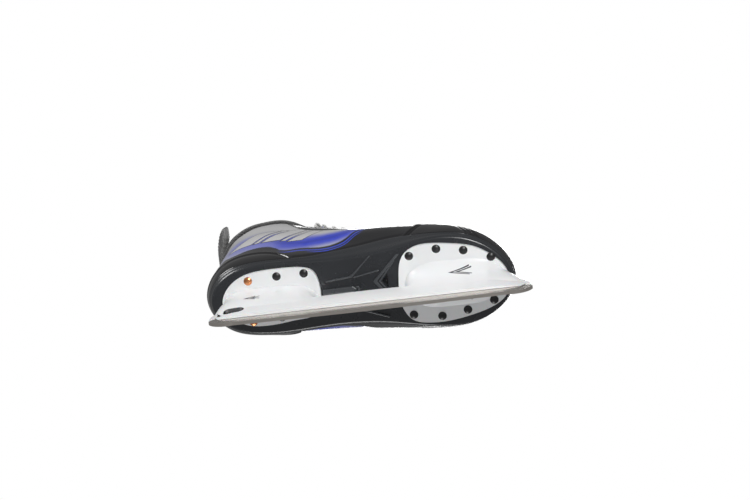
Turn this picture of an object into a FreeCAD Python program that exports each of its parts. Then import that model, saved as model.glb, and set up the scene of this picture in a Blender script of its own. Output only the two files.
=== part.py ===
import FreeCAD, Part
import math
import os

from FreeCAD import Placement, Rotation, Vector

# One right-foot ice hockey skate.
# +X points to the toe, +Y to the inner (medial) side of the foot, +Z up.
# The origin is the point where the runner touches the ice. Millimetres.
# The boot is designed flat, in its own sole frame, and is pitched down towards the toe.

SIZES = {
    "runner_length": 284.0,
    "runner_thickness": 3.0,
    "runner_rocker": 3000.0,
    "runner_top": 22.5,
    "sole_height": 69.3,
    "sole_pitch": 4.02,
    "holder_foot": 15.0,
    "holder_crest": 37.0,
    "slot_width": 3.4,
    "slot_top": 24.0,
    "flange_thickness": 4.0,
    "outsole_thickness": 3.5,
    "outsole_wrap": 1.8,
    "board_thickness": 2.5,
    "footbed_thickness": 5.0,
    "quarter_wall": 2.6,
    "toe_cap_wall": 1.4,
    "facing_wall": 1.2,
    "liner_wall": 4.0,
    "pad_wall": 4.0,
    "rivet_head_radius": 3.9,
    "rivet_head_height": 1.5,
    "rivet_shank_radius": 2.2,
    "washer_radius": 4.6,
    "washer_thickness": 1.0,
    "hook_x": 104.0,
    "hook_z": 29.0,
    "hook_radius": 1.6,
    "lever_x": -120.0,
    "lever_z": 41.0,
    "lever_thickness": 3.6,
    "lever_pin_radius": 1.5,
    "pocket_width": 5.8,
    "throat_half_width": 21.0,
    "facing_band": 15.0,
    "eyelet_radius": 2.6,
    "eyelet_flange": 4.0,
    "lace_radius": 1.6,
    "guard_wall": 6.0,
    "tongue_wall": 6.0,
}

EYELETS = 12
BED_GAP = 0.9               # round the footbed, so that it drops in past the lining
FALL = 0.8                  # how far a layer's upper sections come down for its inset
BOOT_TOP = 190.0
BINDING_BAND = 7.0
ANKLE_PAD_RADIUS, ANKLE_PAD_X, ANKLE_PAD_HEIGHT = 24.0, -103.0, 78.0
EYELET_REACH = (26.0, 30.0)  # from the middle plane, at the toe end and at the top
AGLET_LENGTH = 18.0
FRONT_RIVETS = {-1: [(37.3, 28.2), (62.2, 32.3), (86.2, 28.8), (110, 20.4)],
                1: [(35.6, 26), (61, 29.6), (84.4, 26), (108.8, 19.2)]}
HEEL_RIVETS = {-1: [(-84, 21.4), (-59, 21.8)], 1: [(-84, 16.8), (-60, 15.4)]}
COPPER_RIVETS = {-1: [(-110.6, 19.5)], 1: [(-110.6, 18.6)]}

# Horizontal sections of the foot form, from the sole up: height, heel end, toe end,
# then half-widths outwards and inwards at fixed shares of the length.
SHARES = (0.06, 0.16, 0.38, 0.60, 0.80, 0.93)
SECTIONS = [
    (0, -145, 125, (23, 30, 29, 33, 40, 28), (23, 30, 28, 31, 39, 30)),
    (12, -151, 128.5, (27, 34.5, 34, 37, 43.5, 31), (27, 34.5, 35.5, 38.5, 42.5, 31)),
    (30, -154, 121, (29, 37, 37.5, 42.5, 45, 31.5), (29, 37.5, 40.5, 43.5, 43.5, 31)),
    (45, -154.5, 103, (29, 38, 41, 45.5, 42, 25), (29, 38.5, 42.5, 44, 40, 25)),
    (60, -155, 73, (29, 39, 43, 44, 36, 18), (29, 39, 43, 42, 32.5, 18)),
    (80, -155, 32, (28, 39, 43, 43, 34, 17), (28, 39, 43, 41, 29.5, 16)),
    (105, -155, -13, (26, 37, 43, 41, 30, 17), (26, 37, 43, 41, 30, 17)),
    (130, -157.5, -40, (26, 36, 41.5, 40, 30, 17), (26, 36, 41.5, 40, 30, 17)),
    (158, -162, -62, (25, 34, 38.5, 38.5, 30, 17), (25, 34, 38.5, 38.5, 30, 17)),
    (185, -168, -72, (25, 33, 37, 37, 30, 17), (25, 33, 37, 37, 30, 17)),
]

# Side views of the boot's edges in the sole frame, as (x, height).
COLLAR_LINE = [(-200, 119), (-152, 118), (-138, 123), (-122, 136), (-108, 145), (-95, 150.5),
               (-84, 151), (-73, 144), (-54, 125), (-33, 105), (-6, 89.5), (25, 74.5),
               (50, 64), (66, 57)]
OUTSOLE_LINE = [(-200, 8), (-150, 8), (-104, 7), (-72, 6.5), (-54, 8), (-34, 13), (-10, 17),
                (12, 19), (32, 17), (60, 10), (88, 7), (150, 7)]
COUNTER_LINE = [(-200, 22), (-150, 23), (-128, 26), (-108, 27), (-90, 22), (-76, 13), (-66, 4)]
TOE_CAP_LINE = [(30, 18), (62, 70)]
BACK_STAY_FRONT = [(-139, 20), (-143, 60), (-143, 100), (-134, 135)]


def fill_sheet(doc):
    """Put every driving dimension in a named cell."""
    sheet = doc.addObject("Spreadsheet::Sheet", "Sizes")
    for row, (alias, value) in enumerate(SIZES.items(), start=1):
        sheet.set(f"A{row}", alias)
        sheet.set(f"B{row}", str(value))
        sheet.setAlias(f"B{row}", alias)
    doc.recompute()
    return sheet


doc = FreeCAD.newDocument("hockey_skate")
sheet = fill_sheet(doc)
nodes = {}


def size(alias):
    return float(sheet.get(alias))


SOLE = Placement(Vector(0, 0, size("sole_height")), Rotation(Vector(0, 1, 0), size("sole_pitch")))


def keep(obj, name):
    """Name an object as a finished sub-part."""
    obj.Label = name
    nodes[name] = obj
    return obj


def solid(name, shape, placement=None, part=True):
    """A sub-part whose shape comes from Part's own functions."""
    obj = doc.addObject("Part::Feature", name)
    obj.Shape = shape
    obj.Placement = placement or Placement()
    return keep(obj, name) if part else obj


def primitive(kind, name, placement, **bound):
    """A Part primitive whose sizes are expressions of the sheet."""
    obj = doc.addObject(kind, name)
    for prop, expression in bound.items():
        obj.setExpression(prop, expression)
    obj.Placement = placement
    return obj


def boolean(kind, name, shapes):
    obj = doc.addObject(kind, name)
    if kind == "Part::Cut":
        obj.Base, obj.Tool = shapes
    elif kind == "Part::Compound":
        obj.Links = shapes
    else:
        obj.Shapes = shapes
    return obj


def local(x, y, z):
    """A point of the sole frame, in the skate's frame."""
    return SOLE.multVec(Vector(x, y, z))


# ---------------------------------------------------------------- shared geometry

def closed_curve(points, height):
    curve = Part.BSplineCurve()
    curve.interpolate([Vector(x, y, height) for x, y in points], PeriodicFlag=True)
    return Part.Wire(curve.toShape())


def section_wire(section, inset, height):
    """One horizontal outline of the foot form, moved inwards by the inset."""
    _, heel, toe, outer, inner = section
    heel, toe = heel + inset, toe - inset
    span = toe - heel
    toe_side = span * 0.02
    along = [heel + share * span for share in SHARES]
    points = [(heel, 0)]
    points += [(x, -(w - inset)) for x, w in zip(along, outer)]
    points += [(toe, toe_side)]
    points += [(x, w - inset) for x, w in zip(reversed(along), reversed(inner))]
    return closed_curve(points, height)


def foot_form(inset, drop=0.0):
    """The foot form as a solid, inset sideways and lowered by drop above the sole."""
    wires = []
    for index, section in enumerate(SECTIONS):
        height = section[0]
        if 0 < index < len(SECTIONS) - 1:
            height -= drop * min(1.0, height / 45.0)
        wires.append(section_wire(section, inset, height))
    return Part.makeLoft(wires, True, False)


def side_prism(points, y_low=-100, y_high=100):
    """A closed side view, extruded across the boot."""
    wire = Part.makePolygon([Vector(x, y_low, z) for x, z in points + points[:1]])
    return Part.Face(wire).extrude(Vector(0, y_high - y_low, 0))


def smooth_line(points, shift=0.0):
    """A gentle curve through a side view's points, as short chords."""
    curve = Part.BSplineCurve()
    curve.interpolate([Vector(x, 0, z) for x, z in points])
    return [(p.x, p.z + shift) for p in curve.discretize(4 * len(points))]


def below_line(points, y_low=-100, y_high=100, shift=0.0):
    line = smooth_line(points, shift)
    return side_prism([(line[0][0], -60)] + line + [(line[-1][0], -60)], y_low, y_high)


def above_collar():
    """Everything over the collar, the eyestays and the open throat."""
    line = smooth_line(COLLAR_LINE)
    return side_prism([(-220, 300)] + line + [(66, 300)])


def ahead_of(points):
    """Everything towards the toe from a leaning line."""
    (x0, z0), (x1, z1) = points
    lean = (x1 - x0) / (z1 - z0)
    return side_prism([(x0 + lean * (z - z0), z) for z in (-60, 260)] + [(320, 260), (320, -60)])


def behind_back_stay():
    line = smooth_line([(-139, -20)] + BACK_STAY_FRONT + [(-134, 200)])
    return side_prism([(-220, -20)] + line + [(-220, 200)])


def throat_slot():
    half = size("throat_half_width")
    slot = Part.makeBox(180, 2 * half, 200, Vector(-114, -half, 52))
    return slot.fuse(Part.makeCylinder(half, 200, Vector(66, 0, 52)))


# ---------------------------------------------------------------- runner and its lock

def sketch_on(body, role, name, geometry):
    sketch = body.newObject("Sketcher::SketchObject", name)
    plane = [f for f in body.Origin.OriginFeatures if f.Role == role][0]
    sketch.AttachmentSupport = [(plane, "")]
    sketch.MapMode = "FlatFace"
    sketch.addGeometry(geometry, False)
    return sketch


def padded_body(name, role, geometry, length, placement=None, both_sides=True):
    """A PartDesign body: one sketch, one pad."""
    body = doc.addObject("PartDesign::Body", name)
    sketch = sketch_on(body, role, name + "_sketch", geometry)
    pad = body.newObject("PartDesign::Pad", name + "_pad")
    pad.Profile = sketch
    pad.setExpression("Length", length)
    if both_sides:
        pad.SideType = "Symmetric"
    if placement:
        body.Placement = placement
    return body


def build_runner():
    half = size("runner_length") / 2
    rocker, top = size("runner_rocker"), size("runner_top")
    hook_x, hook_z, hook_r = size("hook_x"), size("hook_z"), size("hook_radius")
    flat_end = half - 22

    def ice(x):
        return rocker - math.sqrt(rocker ** 2 - x ** 2)

    heel_low = Vector(-flat_end, ice(flat_end), 0)
    toe_low = Vector(flat_end, ice(flat_end), 0)
    toe_tip = Vector(half, 13.5, 0)
    heel_tip = Vector(-half, 12.5, 0)
    toe_belly = Vector(half - 6.5, 4.6, 0)
    heel_belly = Vector(-half + 6.5, 4.2, 0)
    gap = 0.1
    reach = hook_r + gap
    # The upper edge, from the toe back to the heel: hook tab, long flat, notched rear tab.
    upper = [(half - 1.5, 16.5), (hook_x + 16, top - 1.5), (hook_x + 9, top),
             (hook_x + 7, hook_z + 4.5), (hook_x, hook_z + 4.5), (hook_x, hook_z + reach)]
    lower_hook = [(hook_x, hook_z - reach), (hook_x - 5, hook_z - reach), (hook_x - 6, top)]
    rear = [(-119.5, top), (-124, 25.6), (-127, 28), (-124, 31), (-124.6, 32.5),
            (-131, 32.5), (-134, top - 1), (-half + 1.5, 16)]
    lines = [Part.Arc(heel_tip, heel_belly, heel_low),
             Part.Arc(heel_low, Vector(0, 0, 0), toe_low),
             Part.Arc(toe_low, toe_belly, toe_tip)]

    def run(points):
        corners = [Vector(x, z, 0) for x, z in points]
        return [Part.LineSegment(a, b) for a, b in zip(corners, corners[1:])]

    lines += run([(toe_tip.x, toe_tip.y)] + upper)
    lines += [Part.Arc(Vector(hook_x, hook_z + reach, 0), Vector(hook_x + reach, hook_z, 0),
                       Vector(hook_x, hook_z - reach, 0))]
    lines += run(lower_hook + rear + [(heel_tip.x, heel_tip.y)])
    keep(padded_body("runner", "XZ_Plane", lines, "Sizes.runner_thickness"), "runner")


def build_lever():
    x, z = size("lever_x"), size("lever_z")
    boss = 4.2
    nose = [(x - 3.6, z - 6), (x - 2.9, z - 9.8), (x - 6.2, z - 13.2), (x - 2.8, z - 14.6),
            (x - 2.0, z - 16.6), (x + 5.5, z - 16.6), (x + 7.0, z - 12.5), (x + 3.4, z - 6)]
    corners = [Vector(px, pz, 0) for px, pz in nose]
    lines = [Part.LineSegment(a, b) for a, b in zip(corners, corners[1:])]
    start = Vector(x + 3.4, z - 6, 0)
    end = Vector(x - 3.6, z - 6, 0)
    lines += [Part.LineSegment(start, Vector(x + boss, z, 0)),
              Part.Arc(Vector(x + boss, z, 0), Vector(x, z + boss, 0), Vector(x - boss, z, 0)),
              Part.LineSegment(Vector(x - boss, z, 0), end)]
    blank = padded_body("lever_blank", "XZ_Plane", lines, "Sizes.lever_thickness")
    across = Placement(Vector(x, -10, z), Rotation(Vector(1, 0, 0), -90))
    hole = primitive("Part::Cylinder", "lever_bore", across,
                     Radius="Sizes.lever_pin_radius + 0.08", Height="20 mm")
    keep(boolean("Part::Cut", "lock_lever", [blank, hole]), "lock_lever")
    pin_place = Placement(Vector(x, -7.5, z), Rotation(Vector(1, 0, 0), -90))
    keep(primitive("Part::Cylinder", "lever_pin", pin_place,
                   Radius="Sizes.lever_pin_radius", Height="15 mm"), "lever_pin")
    # The return spring's coil, wound round the pin beside the lever.
    coil = Part.makeHelix(0.38, 0.57, 2.4)
    wire = Part.Wire([Part.makeCircle(0.18, Vector(2.4, 0, 0), Vector(0, 1, 0))])
    turns = Part.Wire(coil.Edges).makePipeShell([wire], True, True)
    place = Placement(Vector(x, size("lever_thickness") / 2 + 0.2, z),
                      Rotation(Vector(1, 0, 0), -90))
    solid("lever_spring", turns, place)


# ---------------------------------------------------------------- blade holder

FRONT_FLANGE = [(24.5, 3), (26.5, -15), (31.5, -29), (42, -35.8), (58, -37.3), (76, -35.3),
                (94, -31.3), (111, -21.3), (121.5, -9.5), (124.6, 4), (119.5, 16.5),
                (106, 25.5), (88, 31), (66, 34.7), (48, 34.6), (35, 31), (27, 20)]
REAR_FLANGE = [(-46, 0), (-47, -14), (-51.5, -23.3), (-61, -27), (-76, -28), (-95, -27.6),
               (-114, -24.6), (-127, -17.5), (-134.5, -8), (-136.5, 0), (-134.5, 8),
               (-127, 16), (-114, 22), (-98, 23.4), (-84, 22.4), (-70, 20.6), (-57, 19),
               (-49, 14)]


def flange(name, points):
    """A flat base plate on the sole, lying just under the outsole."""
    curve = Part.BSplineCurve()
    curve.interpolate([Vector(x, y, 0) for x, y in points], PeriodicFlag=True)
    down = Placement(local(0, 0, -size("flange_thickness")), SOLE.Rotation)
    return padded_body(name, "XY_Plane", [curve], "Sizes.flange_thickness", down, False)


def boat(rear, front, half, height, tilted=False, blunt=0.62):
    """A slim outline with rounded ends, level or lying in the sole's plane."""
    middle, reach = (rear + front) / 2, (front - rear) / 2
    marks = ((-1, 0), (-0.93, 0.45), (-0.62, 0.9), (0, 1), (0.62, 0.9), (0.93, 0.45 * blunt / 0.62))
    side = [(middle + reach * share, -half * wide) for share, wide in marks]
    points = side + [(front, 0)] + [(px, -py) for px, py in reversed(side[1:])]
    wire = closed_curve(points, height)
    if tilted:
        wire.Placement = SOLE
    return wire


def build_holder():
    foot, crest = size("holder_foot"), size("holder_crest")
    root = -size("flange_thickness") + 0.5
    beam = Part.makeLoft([boat(-141.5, 139, 4.6, foot), boat(-142.5, 141, 6.0, 22),
                          boat(-141, 139, 7.6, crest)], True)
    front = Part.makeLoft([boat(16, 137, 4.8, 26), boat(25, 135, 8.6, 37.5), boat(31, 127.5, 13, 52),
                           boat(30, 121, 22, root, True)], True)
    rear = Part.makeLoft([boat(-138, -36, 4.8, 26), boat(-139.5, -45, 8.6, 38.5),
                          boat(-136.5, -51, 11.5, 56), boat(-135, -49.5, 12.5, root, True)], True)
    body = solid("holder_towers", beam.fuse([front, rear]), part=False)
    blank = boolean("Part::MultiFuse", "holder_blank",
                    [body, flange("front_flange", FRONT_FLANGE), flange("rear_flange", REAR_FLANGE)])

    slot = Placement(Vector(-160, -size("slot_width") / 2, 0), Rotation())
    tools = [primitive("Part::Box", "runner_slot", slot, Length="320 mm",
                       Width="Sizes.slot_width", Height="Sizes.slot_top")]
    hook = size("hook_x")
    pocket = Placement(Vector(hook - 9, -size("slot_width") / 2, 20), Rotation())
    tools.append(primitive("Part::Box", "hook_pocket", pocket, Length="20 mm",
                           Width="Sizes.slot_width", Height="Sizes.hook_z - 13"))
    width = size("pocket_width")
    lock = Placement(Vector(-136, -width / 2, 22), Rotation())
    tools.append(primitive("Part::Box", "lock_pocket", lock, Length="32 mm",
                           Width="Sizes.pocket_width", Height="Sizes.lever_z - 22 + 5"))
    window = Part.makeBox(18, 40, 9.5, Vector(-130, -20, 23))
    window = window.makeFillet(4.2, [e for e in window.Edges if e.Length > 39])
    tools.append(solid("lock_window", window, part=False))
    across = Placement(Vector(size("lever_x"), -7.5, size("lever_z")),
                       Rotation(Vector(1, 0, 0), -90))
    tools.append(primitive("Part::Cylinder", "pin_hole", across,
                           Radius="Sizes.lever_pin_radius", Height="15 mm"))
    for index, (px, py) in enumerate(all_rivets()):
        tools.append(primitive("Part::Cylinder", f"holder_hole_{index}",
                               Placement(local(px, py, -20), SOLE.Rotation),
                               Radius="Sizes.rivet_shank_radius", Height="30 mm"))
        seat = -size("flange_thickness") - 12
        tools.append(primitive("Part::Cylinder", f"holder_seat_{index}",
                               Placement(local(px, py, seat), SOLE.Rotation),
                               Radius="Sizes.rivet_head_radius + 0.6", Height="12 mm"))
    cutters = boolean("Part::MultiFuse", "holder_cutters", tools)
    carved = boolean("Part::Cut", "holder_carved", [blank, cutters])
    ledge_place = Placement(Vector(hook, -4, size("hook_z")), Rotation(Vector(1, 0, 0), -90))
    ledge = primitive("Part::Cylinder", "hook_ledge", ledge_place,
                      Radius="Sizes.hook_radius", Height="8 mm")
    keep(boolean("Part::MultiFuse", "holder", [carved, ledge]), "holder")


# ---------------------------------------------------------------- rivets

def on_side(group, side):
    return [(x, side * y) for x, y in group[side]]


def all_rivets():
    groups = (FRONT_RIVETS, HEEL_RIVETS, COPPER_RIVETS)
    return [place for group in groups for side in (-1, 1) for place in on_side(group, side)]


def rivet(name, x, y):
    """A domed head under the flange and a shank up to the insole board."""
    seat = -size("flange_thickness")
    dome = (size("rivet_head_radius") ** 2 + size("rivet_head_height") ** 2)
    dome /= 2 * size("rivet_head_height")
    centre = local(x, y, seat - size("rivet_head_height") + dome)
    ball = primitive("Part::Sphere", name + "_ball", Placement(centre, SOLE.Rotation),
                     Radius="(Sizes.rivet_head_radius ^ 2 + Sizes.rivet_head_height ^ 2)"
                            " / (2 * Sizes.rivet_head_height)")
    disc = primitive("Part::Cylinder", name + "_disc",
                     Placement(local(x, y, seat - size("rivet_head_height")), SOLE.Rotation),
                     Radius="Sizes.rivet_head_radius", Height="Sizes.rivet_head_height")
    head = boolean("Part::MultiCommon", name + "_head", [ball, disc])
    shank = primitive("Part::Cylinder", name + "_shank", Placement(local(x, y, seat), SOLE.Rotation),
                      Radius="Sizes.rivet_shank_radius",
                      Height="Sizes.flange_thickness + Sizes.outsole_thickness"
                             " + Sizes.board_thickness")
    return boolean("Part::MultiFuse", name, [head, shank])


def build_rivets():
    groups = {
        "front_rivets_lateral": on_side(FRONT_RIVETS, -1),
        "front_rivets_medial": on_side(FRONT_RIVETS, 1),
        "heel_rivets": on_side(HEEL_RIVETS, -1) + on_side(HEEL_RIVETS, 1),
        "copper_rivets": on_side(COPPER_RIVETS, -1) + on_side(COPPER_RIVETS, 1),
    }
    for name, places in groups.items():
        rivets = [rivet(f"{name}_{i}", x, y) for i, (x, y) in enumerate(places)]
        keep(boolean("Part::Compound", name, rivets), name)
    base = size("outsole_thickness") + size("board_thickness") - size("washer_thickness")
    rings = []
    for i, (x, y) in enumerate(all_rivets()):
        place = Placement(local(x, y, base), SOLE.Rotation)
        disc = primitive("Part::Cylinder", f"washer_disc_{i}", place,
                         Radius="Sizes.washer_radius", Height="Sizes.washer_thickness")
        hole = primitive("Part::Cylinder", f"washer_hole_{i}", place,
                         Radius="Sizes.rivet_shank_radius", Height="Sizes.washer_thickness")
        rings.append(boolean("Part::Cut", f"washer_{i}", [disc, hole]))
    keep(boolean("Part::Compound", "rivet_washers", rings), "rivet_washers")


# ---------------------------------------------------------------- boot

def rivet_holes(radius, low, high):
    holes = [Part.makeCylinder(radius, high - low, Vector(x, y, low)) for x, y in all_rivets()]
    return holes[0].fuse(holes[1:])


def slab(low, high):
    return Part.makeBox(400, 200, high - low, Vector(-200, -100, low))


def half_space(side):
    return Part.makeBox(400, 100, 400, Vector(-220, -100 if side < 0 else 0, -60))


def build_boot(eyelet_holes):
    wall, wrap = size("quarter_wall"), size("outsole_wrap")
    lining = wall + size("liner_wall")
    sole_top = size("outsole_thickness")
    board_top = sole_top + size("board_thickness")
    bed_top = board_top + size("footbed_thickness")
    shank = size("rivet_shank_radius")

    wrapped = foot_form(-wrap)
    outer = foot_form(0)
    inner = foot_form(wall, wall * FALL)
    lined = foot_form(lining, lining * FALL)
    padded = foot_form(lining + size("pad_wall"), lining * FALL)
    over = above_collar()
    slot = throat_slot()
    toe = ahead_of(TOE_CAP_LINE)

    # Outsole: a plate that also wraps up round the quarters.
    low_zone = below_line(OUTSOLE_LINE)
    cup = outer.cut(slab(-10, sole_top))
    outsole = wrapped.common(low_zone).cut(cup)
    outsole = outsole.cut(rivet_holes(shank, -1, 10)).cut(vent_cut())
    solid("outsole", outsole, SOLE)

    board = inner.common(slab(sole_top, board_top)).cut(rivet_holes(shank, 0, 10))
    washer = size("washer_thickness")
    board = board.cut(rivet_holes(size("washer_radius"), board_top - washer, board_top + 1))
    solid("insole_board", board, SOLE)

    footbed = foot_form(lining + BED_GAP).common(slab(board_top, bed_top))
    solid("footbed", footbed, SOLE)

    # Quarters: one stiff shell on each side, behind the toe cap.
    shell = outer.cut(inner).common(slab(sole_top, BOOT_TOP)).cut(over).cut(toe)
    throat = shell.cut(slot)
    stay = behind_back_stay()
    quarters = throat.cut(stay).cut(eyelet_holes)
    solid("quarter_lateral", quarters.common(half_space(-1)), SOLE)
    solid("quarter_medial", quarters.common(half_space(1)), SOLE)
    solid("back_stay", throat.common(stay), SOLE)

    # Heel counter: a glossy moulding over the quarters, above the outsole's wall.
    skin = wrapped.cut(outer)
    counter = skin.common(below_line(COUNTER_LINE)).cut(low_zone)
    solid("heel_counter", largest(counter), SOLE)

    toe_skin = foot_form(-size("toe_cap_wall"))
    cap = toe_skin.cut(inner).common(toe).common(slab(sole_top, BOOT_TOP))
    cap = cap.cut(wrapped.common(low_zone))
    solid("toe_cap", largest(cap), SOLE)

    liner = inner.cut(lined).common(slab(board_top, BOOT_TOP)).cut(over).cut(slot)
    liner = liner.cut(eyelet_holes)
    solid("liner_lateral", liner.common(half_space(-1)), SOLE)
    solid("liner_medial", liner.common(half_space(1)), SOLE)

    for side, name in ((-1, "ankle_pad_lateral"), (1, "ankle_pad_medial")):
        disc = Part.makeCylinder(ANKLE_PAD_RADIUS, 60, Vector(ANKLE_PAD_X, 0, ANKLE_PAD_HEIGHT),
                                 Vector(0, side, 0))
        solid(name, lined.cut(padded).common(disc), SOLE)

    # Facings along the throat carry the eyelets.
    band = below_line(COLLAR_LINE).cut(below_line(COLLAR_LINE, shift=-size("facing_band")))
    face_skin = foot_form(-size("facing_wall")).cut(outer)
    eyestay = Part.makeBox(160, 200, 220, Vector(-92, -100, 40))
    strip = face_skin.common(band).common(eyestay).cut(slot).cut(toe).cut(eyelet_holes)
    for side, name in ((-1, "facing_lateral"), (1, "facing_medial")):
        solid(name, largest(strip.common(half_space(side))), SOLE)

    # Collar binding: a rolled edge over the rear collar, from eyestay to eyestay.
    edge = below_line(COLLAR_LINE).cut(below_line(COLLAR_LINE, shift=-BINDING_BAND))
    rear = Part.makeBox(140, 200, 220, Vector(-232, -100, 40))
    binding = face_skin.common(edge).common(rear)
    solid("collar_binding", largest(binding), SOLE)


def vent_cut():
    """The triangular drain and vent hole behind the front base plate."""
    corners = [Vector(10.5, -7.5, -2), Vector(15.6, -13, -2), Vector(15.8, 0, -2)]
    return Part.Face(Part.makePolygon(corners + corners[:1])).extrude(Vector(0, 0, 4))


def largest(shape):
    """The main solid of a cut, without loose slivers."""
    return max(shape.Solids, key=lambda s: s.Volume)


# ---------------------------------------------------------------- tongue, guard and lace

def build_tongue():
    """The tongue lies under the facings; its top part folds forward."""
    wall = size("tongue_wall")
    lining = size("quarter_wall")
    outer = foot_form(lining + 0.3, (lining + 0.3) * FALL)
    inner = foot_form(lining + wall, (lining + wall) * FALL)
    pad = outer.cut(inner)
    half = size("throat_half_width") - 5.5
    lane = Part.makeBox(150, 2 * half, 200, Vector(-88, -half, 46))
    lane = lane.cut(ahead_of([(58, 40), (62, 70)]))
    pad = pad.common(lane)
    solid("tongue", largest(pad.common(slab(53, 153))), SOLE)

    # The free top: a curved flap that rests back in the collar's mouth.
    rise, bow, half_top, half_base = 37, 62, 24, 18
    front_x, base = -64.5, 156
    top = Part.makeCylinder(bow, rise, Vector(front_x - bow, 0, base))
    top = top.cut(Part.makeCylinder(bow - wall, rise, Vector(front_x - bow, 0, base)))
    flap = Part.Face(rounded_outline(half_top, half_base, base, rise)).extrude(Vector(60, 0, 0))
    flap.translate(Vector(front_x - 30, 0, 0))
    place = SOLE.multiply(Placement(Vector(0, 0, 0), Rotation(Vector(0, 1, 0), -16),
                                    Vector(front_x, 0, base)))
    solid("tongue_top", largest(top.common(flap)), place)


def build_guard():
    """The tendon guard: a curved plate that flexes at the back of the collar."""
    wall, half, rise, base, bow, back = size("guard_wall"), 31.5, 88, 119.5, 58, -160
    plate = Part.makeCylinder(bow, rise, Vector(back + bow, 0, base))
    plate = plate.cut(Part.makeCylinder(bow - wall, rise, Vector(back + bow, 0, base)))
    outline = Part.Face(rounded_outline(half, half - 6, base, rise)).extrude(Vector(30, 0, 0))
    outline.translate(Vector(back - 2, 0, 0))
    lean = Placement(Vector(0, 0, 0), Rotation(Vector(0, 1, 0), -12), Vector(back, 0, base))
    solid("tendon_guard", largest(plate.common(outline)), SOLE.multiply(lean))


def rounded_outline(half_top, half_base, base, rise):
    """A tab seen from the front: straight base, flared sides, round top corners."""
    corner = 13.0
    top = base + rise

    def at(y, z):
        return Vector(0, y, z)

    slant = corner * (1 - math.sqrt(0.5))
    right, left = half_top, -half_top
    edges = [Part.LineSegment(at(-half_base, base), at(half_base, base)),
             Part.LineSegment(at(half_base, base), at(right, top - corner)),
             Part.Arc(at(right, top - corner), at(right - slant, top - slant),
                      at(right - corner, top)),
             Part.LineSegment(at(right - corner, top), at(left + corner, top)),
             Part.Arc(at(left + corner, top), at(left + slant, top - slant),
                      at(left, top - corner)),
             Part.LineSegment(at(left, top - corner), at(-half_base, base))]
    return Part.Wire([edge.toShape() for edge in edges])


def eyestay_marks(count):
    """Evenly spaced places along the eyestay, from the toe end up, in side view."""
    line = Part.BSplineCurve()
    line.interpolate([Vector(x, 0, z) for x, z in reversed(COLLAR_LINE[6:])])
    return line.discretize(count + 2)[1:-1]


def skin_point(skin, mark, y):
    """Where the foot form's skin passes a mark, and the skin's outward normal there."""
    ray = Part.makeLine(Vector(mark.x - 60, y, mark.z - 60), Vector(mark.x + 60, y, mark.z + 60))
    hits = [(v.Point, face) for face in skin.Faces for v in face.common(ray).Vertexes]
    hits += [(v.Point, None) for v in skin.common(ray).Vertexes]
    point = max((p for p, _ in hits), key=lambda p: p.x + p.z)
    face = min(skin.Faces, key=lambda f: f.distToShape(Part.Vertex(point))[0])
    normal = face.normalAt(*face.Surface.parameter(point))
    return point, normal if normal.x + normal.z > 0 else normal.negative()


def between(low, high, share):
    return low + (high - low) * share


def eyelet_places(skin, marks):
    """The eyelet centres and normals of each side, from the toe end up."""
    places = {}
    for side in (-1, 1):
        rows = []
        for index, mark in enumerate(marks):
            y = side * between(*EYELET_REACH, index / (len(marks) - 1))
            rows.append(skin_point(skin, mark, y))
        places[side] = rows
    return places


def build_eyelets(places):
    """Rolled eyelet rings on the facings, and the holes that go right through."""
    bore, rim = size("eyelet_radius"), size("eyelet_flange")
    holes = []
    for side, name in ((-1, "eyelets_lateral"), (1, "eyelets_medial")):
        rings = []
        for point, normal in places[side]:
            ring = Part.makeCylinder(rim, 0.9, point + normal * 0.1, normal)
            rings.append(ring.cut(Part.makeCylinder(bore, 4, point - normal * 2, normal)))
            holes.append(Part.makeCylinder(bore, 14, point - normal * 12, normal))
        solid(name, Part.makeCompound(rings), SOLE)
    return holes


def tube(route, radius):
    """A round tube along straight runs and tangent arcs. Each point has its own arc radius."""
    points = [p for p, _ in route]
    edges, start = [], points[0]
    for before, (corner, tight), after in zip(points, route[1:], points[2:]):
        back, on = (before - corner), (after - corner)
        shorter = min(back.Length, on.Length)
        back.normalize()
        on.normalize()
        half_turn = (math.pi - back.getAngle(on)) / 2
        arc = tight or 0.45 * shorter / math.tan(half_turn)
        reach = arc * math.tan(half_turn)
        first, last = corner + back * reach, corner + on * reach
        middle = (back + on).normalize()
        waist = corner + middle * (arc / math.cos(half_turn) - arc)
        if (first - start).Length > 0.01:
            edges.append(Part.LineSegment(start, first).toShape())
        edges.append(Part.Arc(first, waist, last).toShape())
        start = last
    edges.append(Part.LineSegment(start, points[-1]).toShape())
    path = Part.Wire(edges)
    heading = points[1] - points[0]
    ring = Part.Wire([Part.makeCircle(radius, points[0], heading)])
    print(f"tube length {path.Length:.1f}")
    return path.makePipeShell([ring], True, False)


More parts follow.
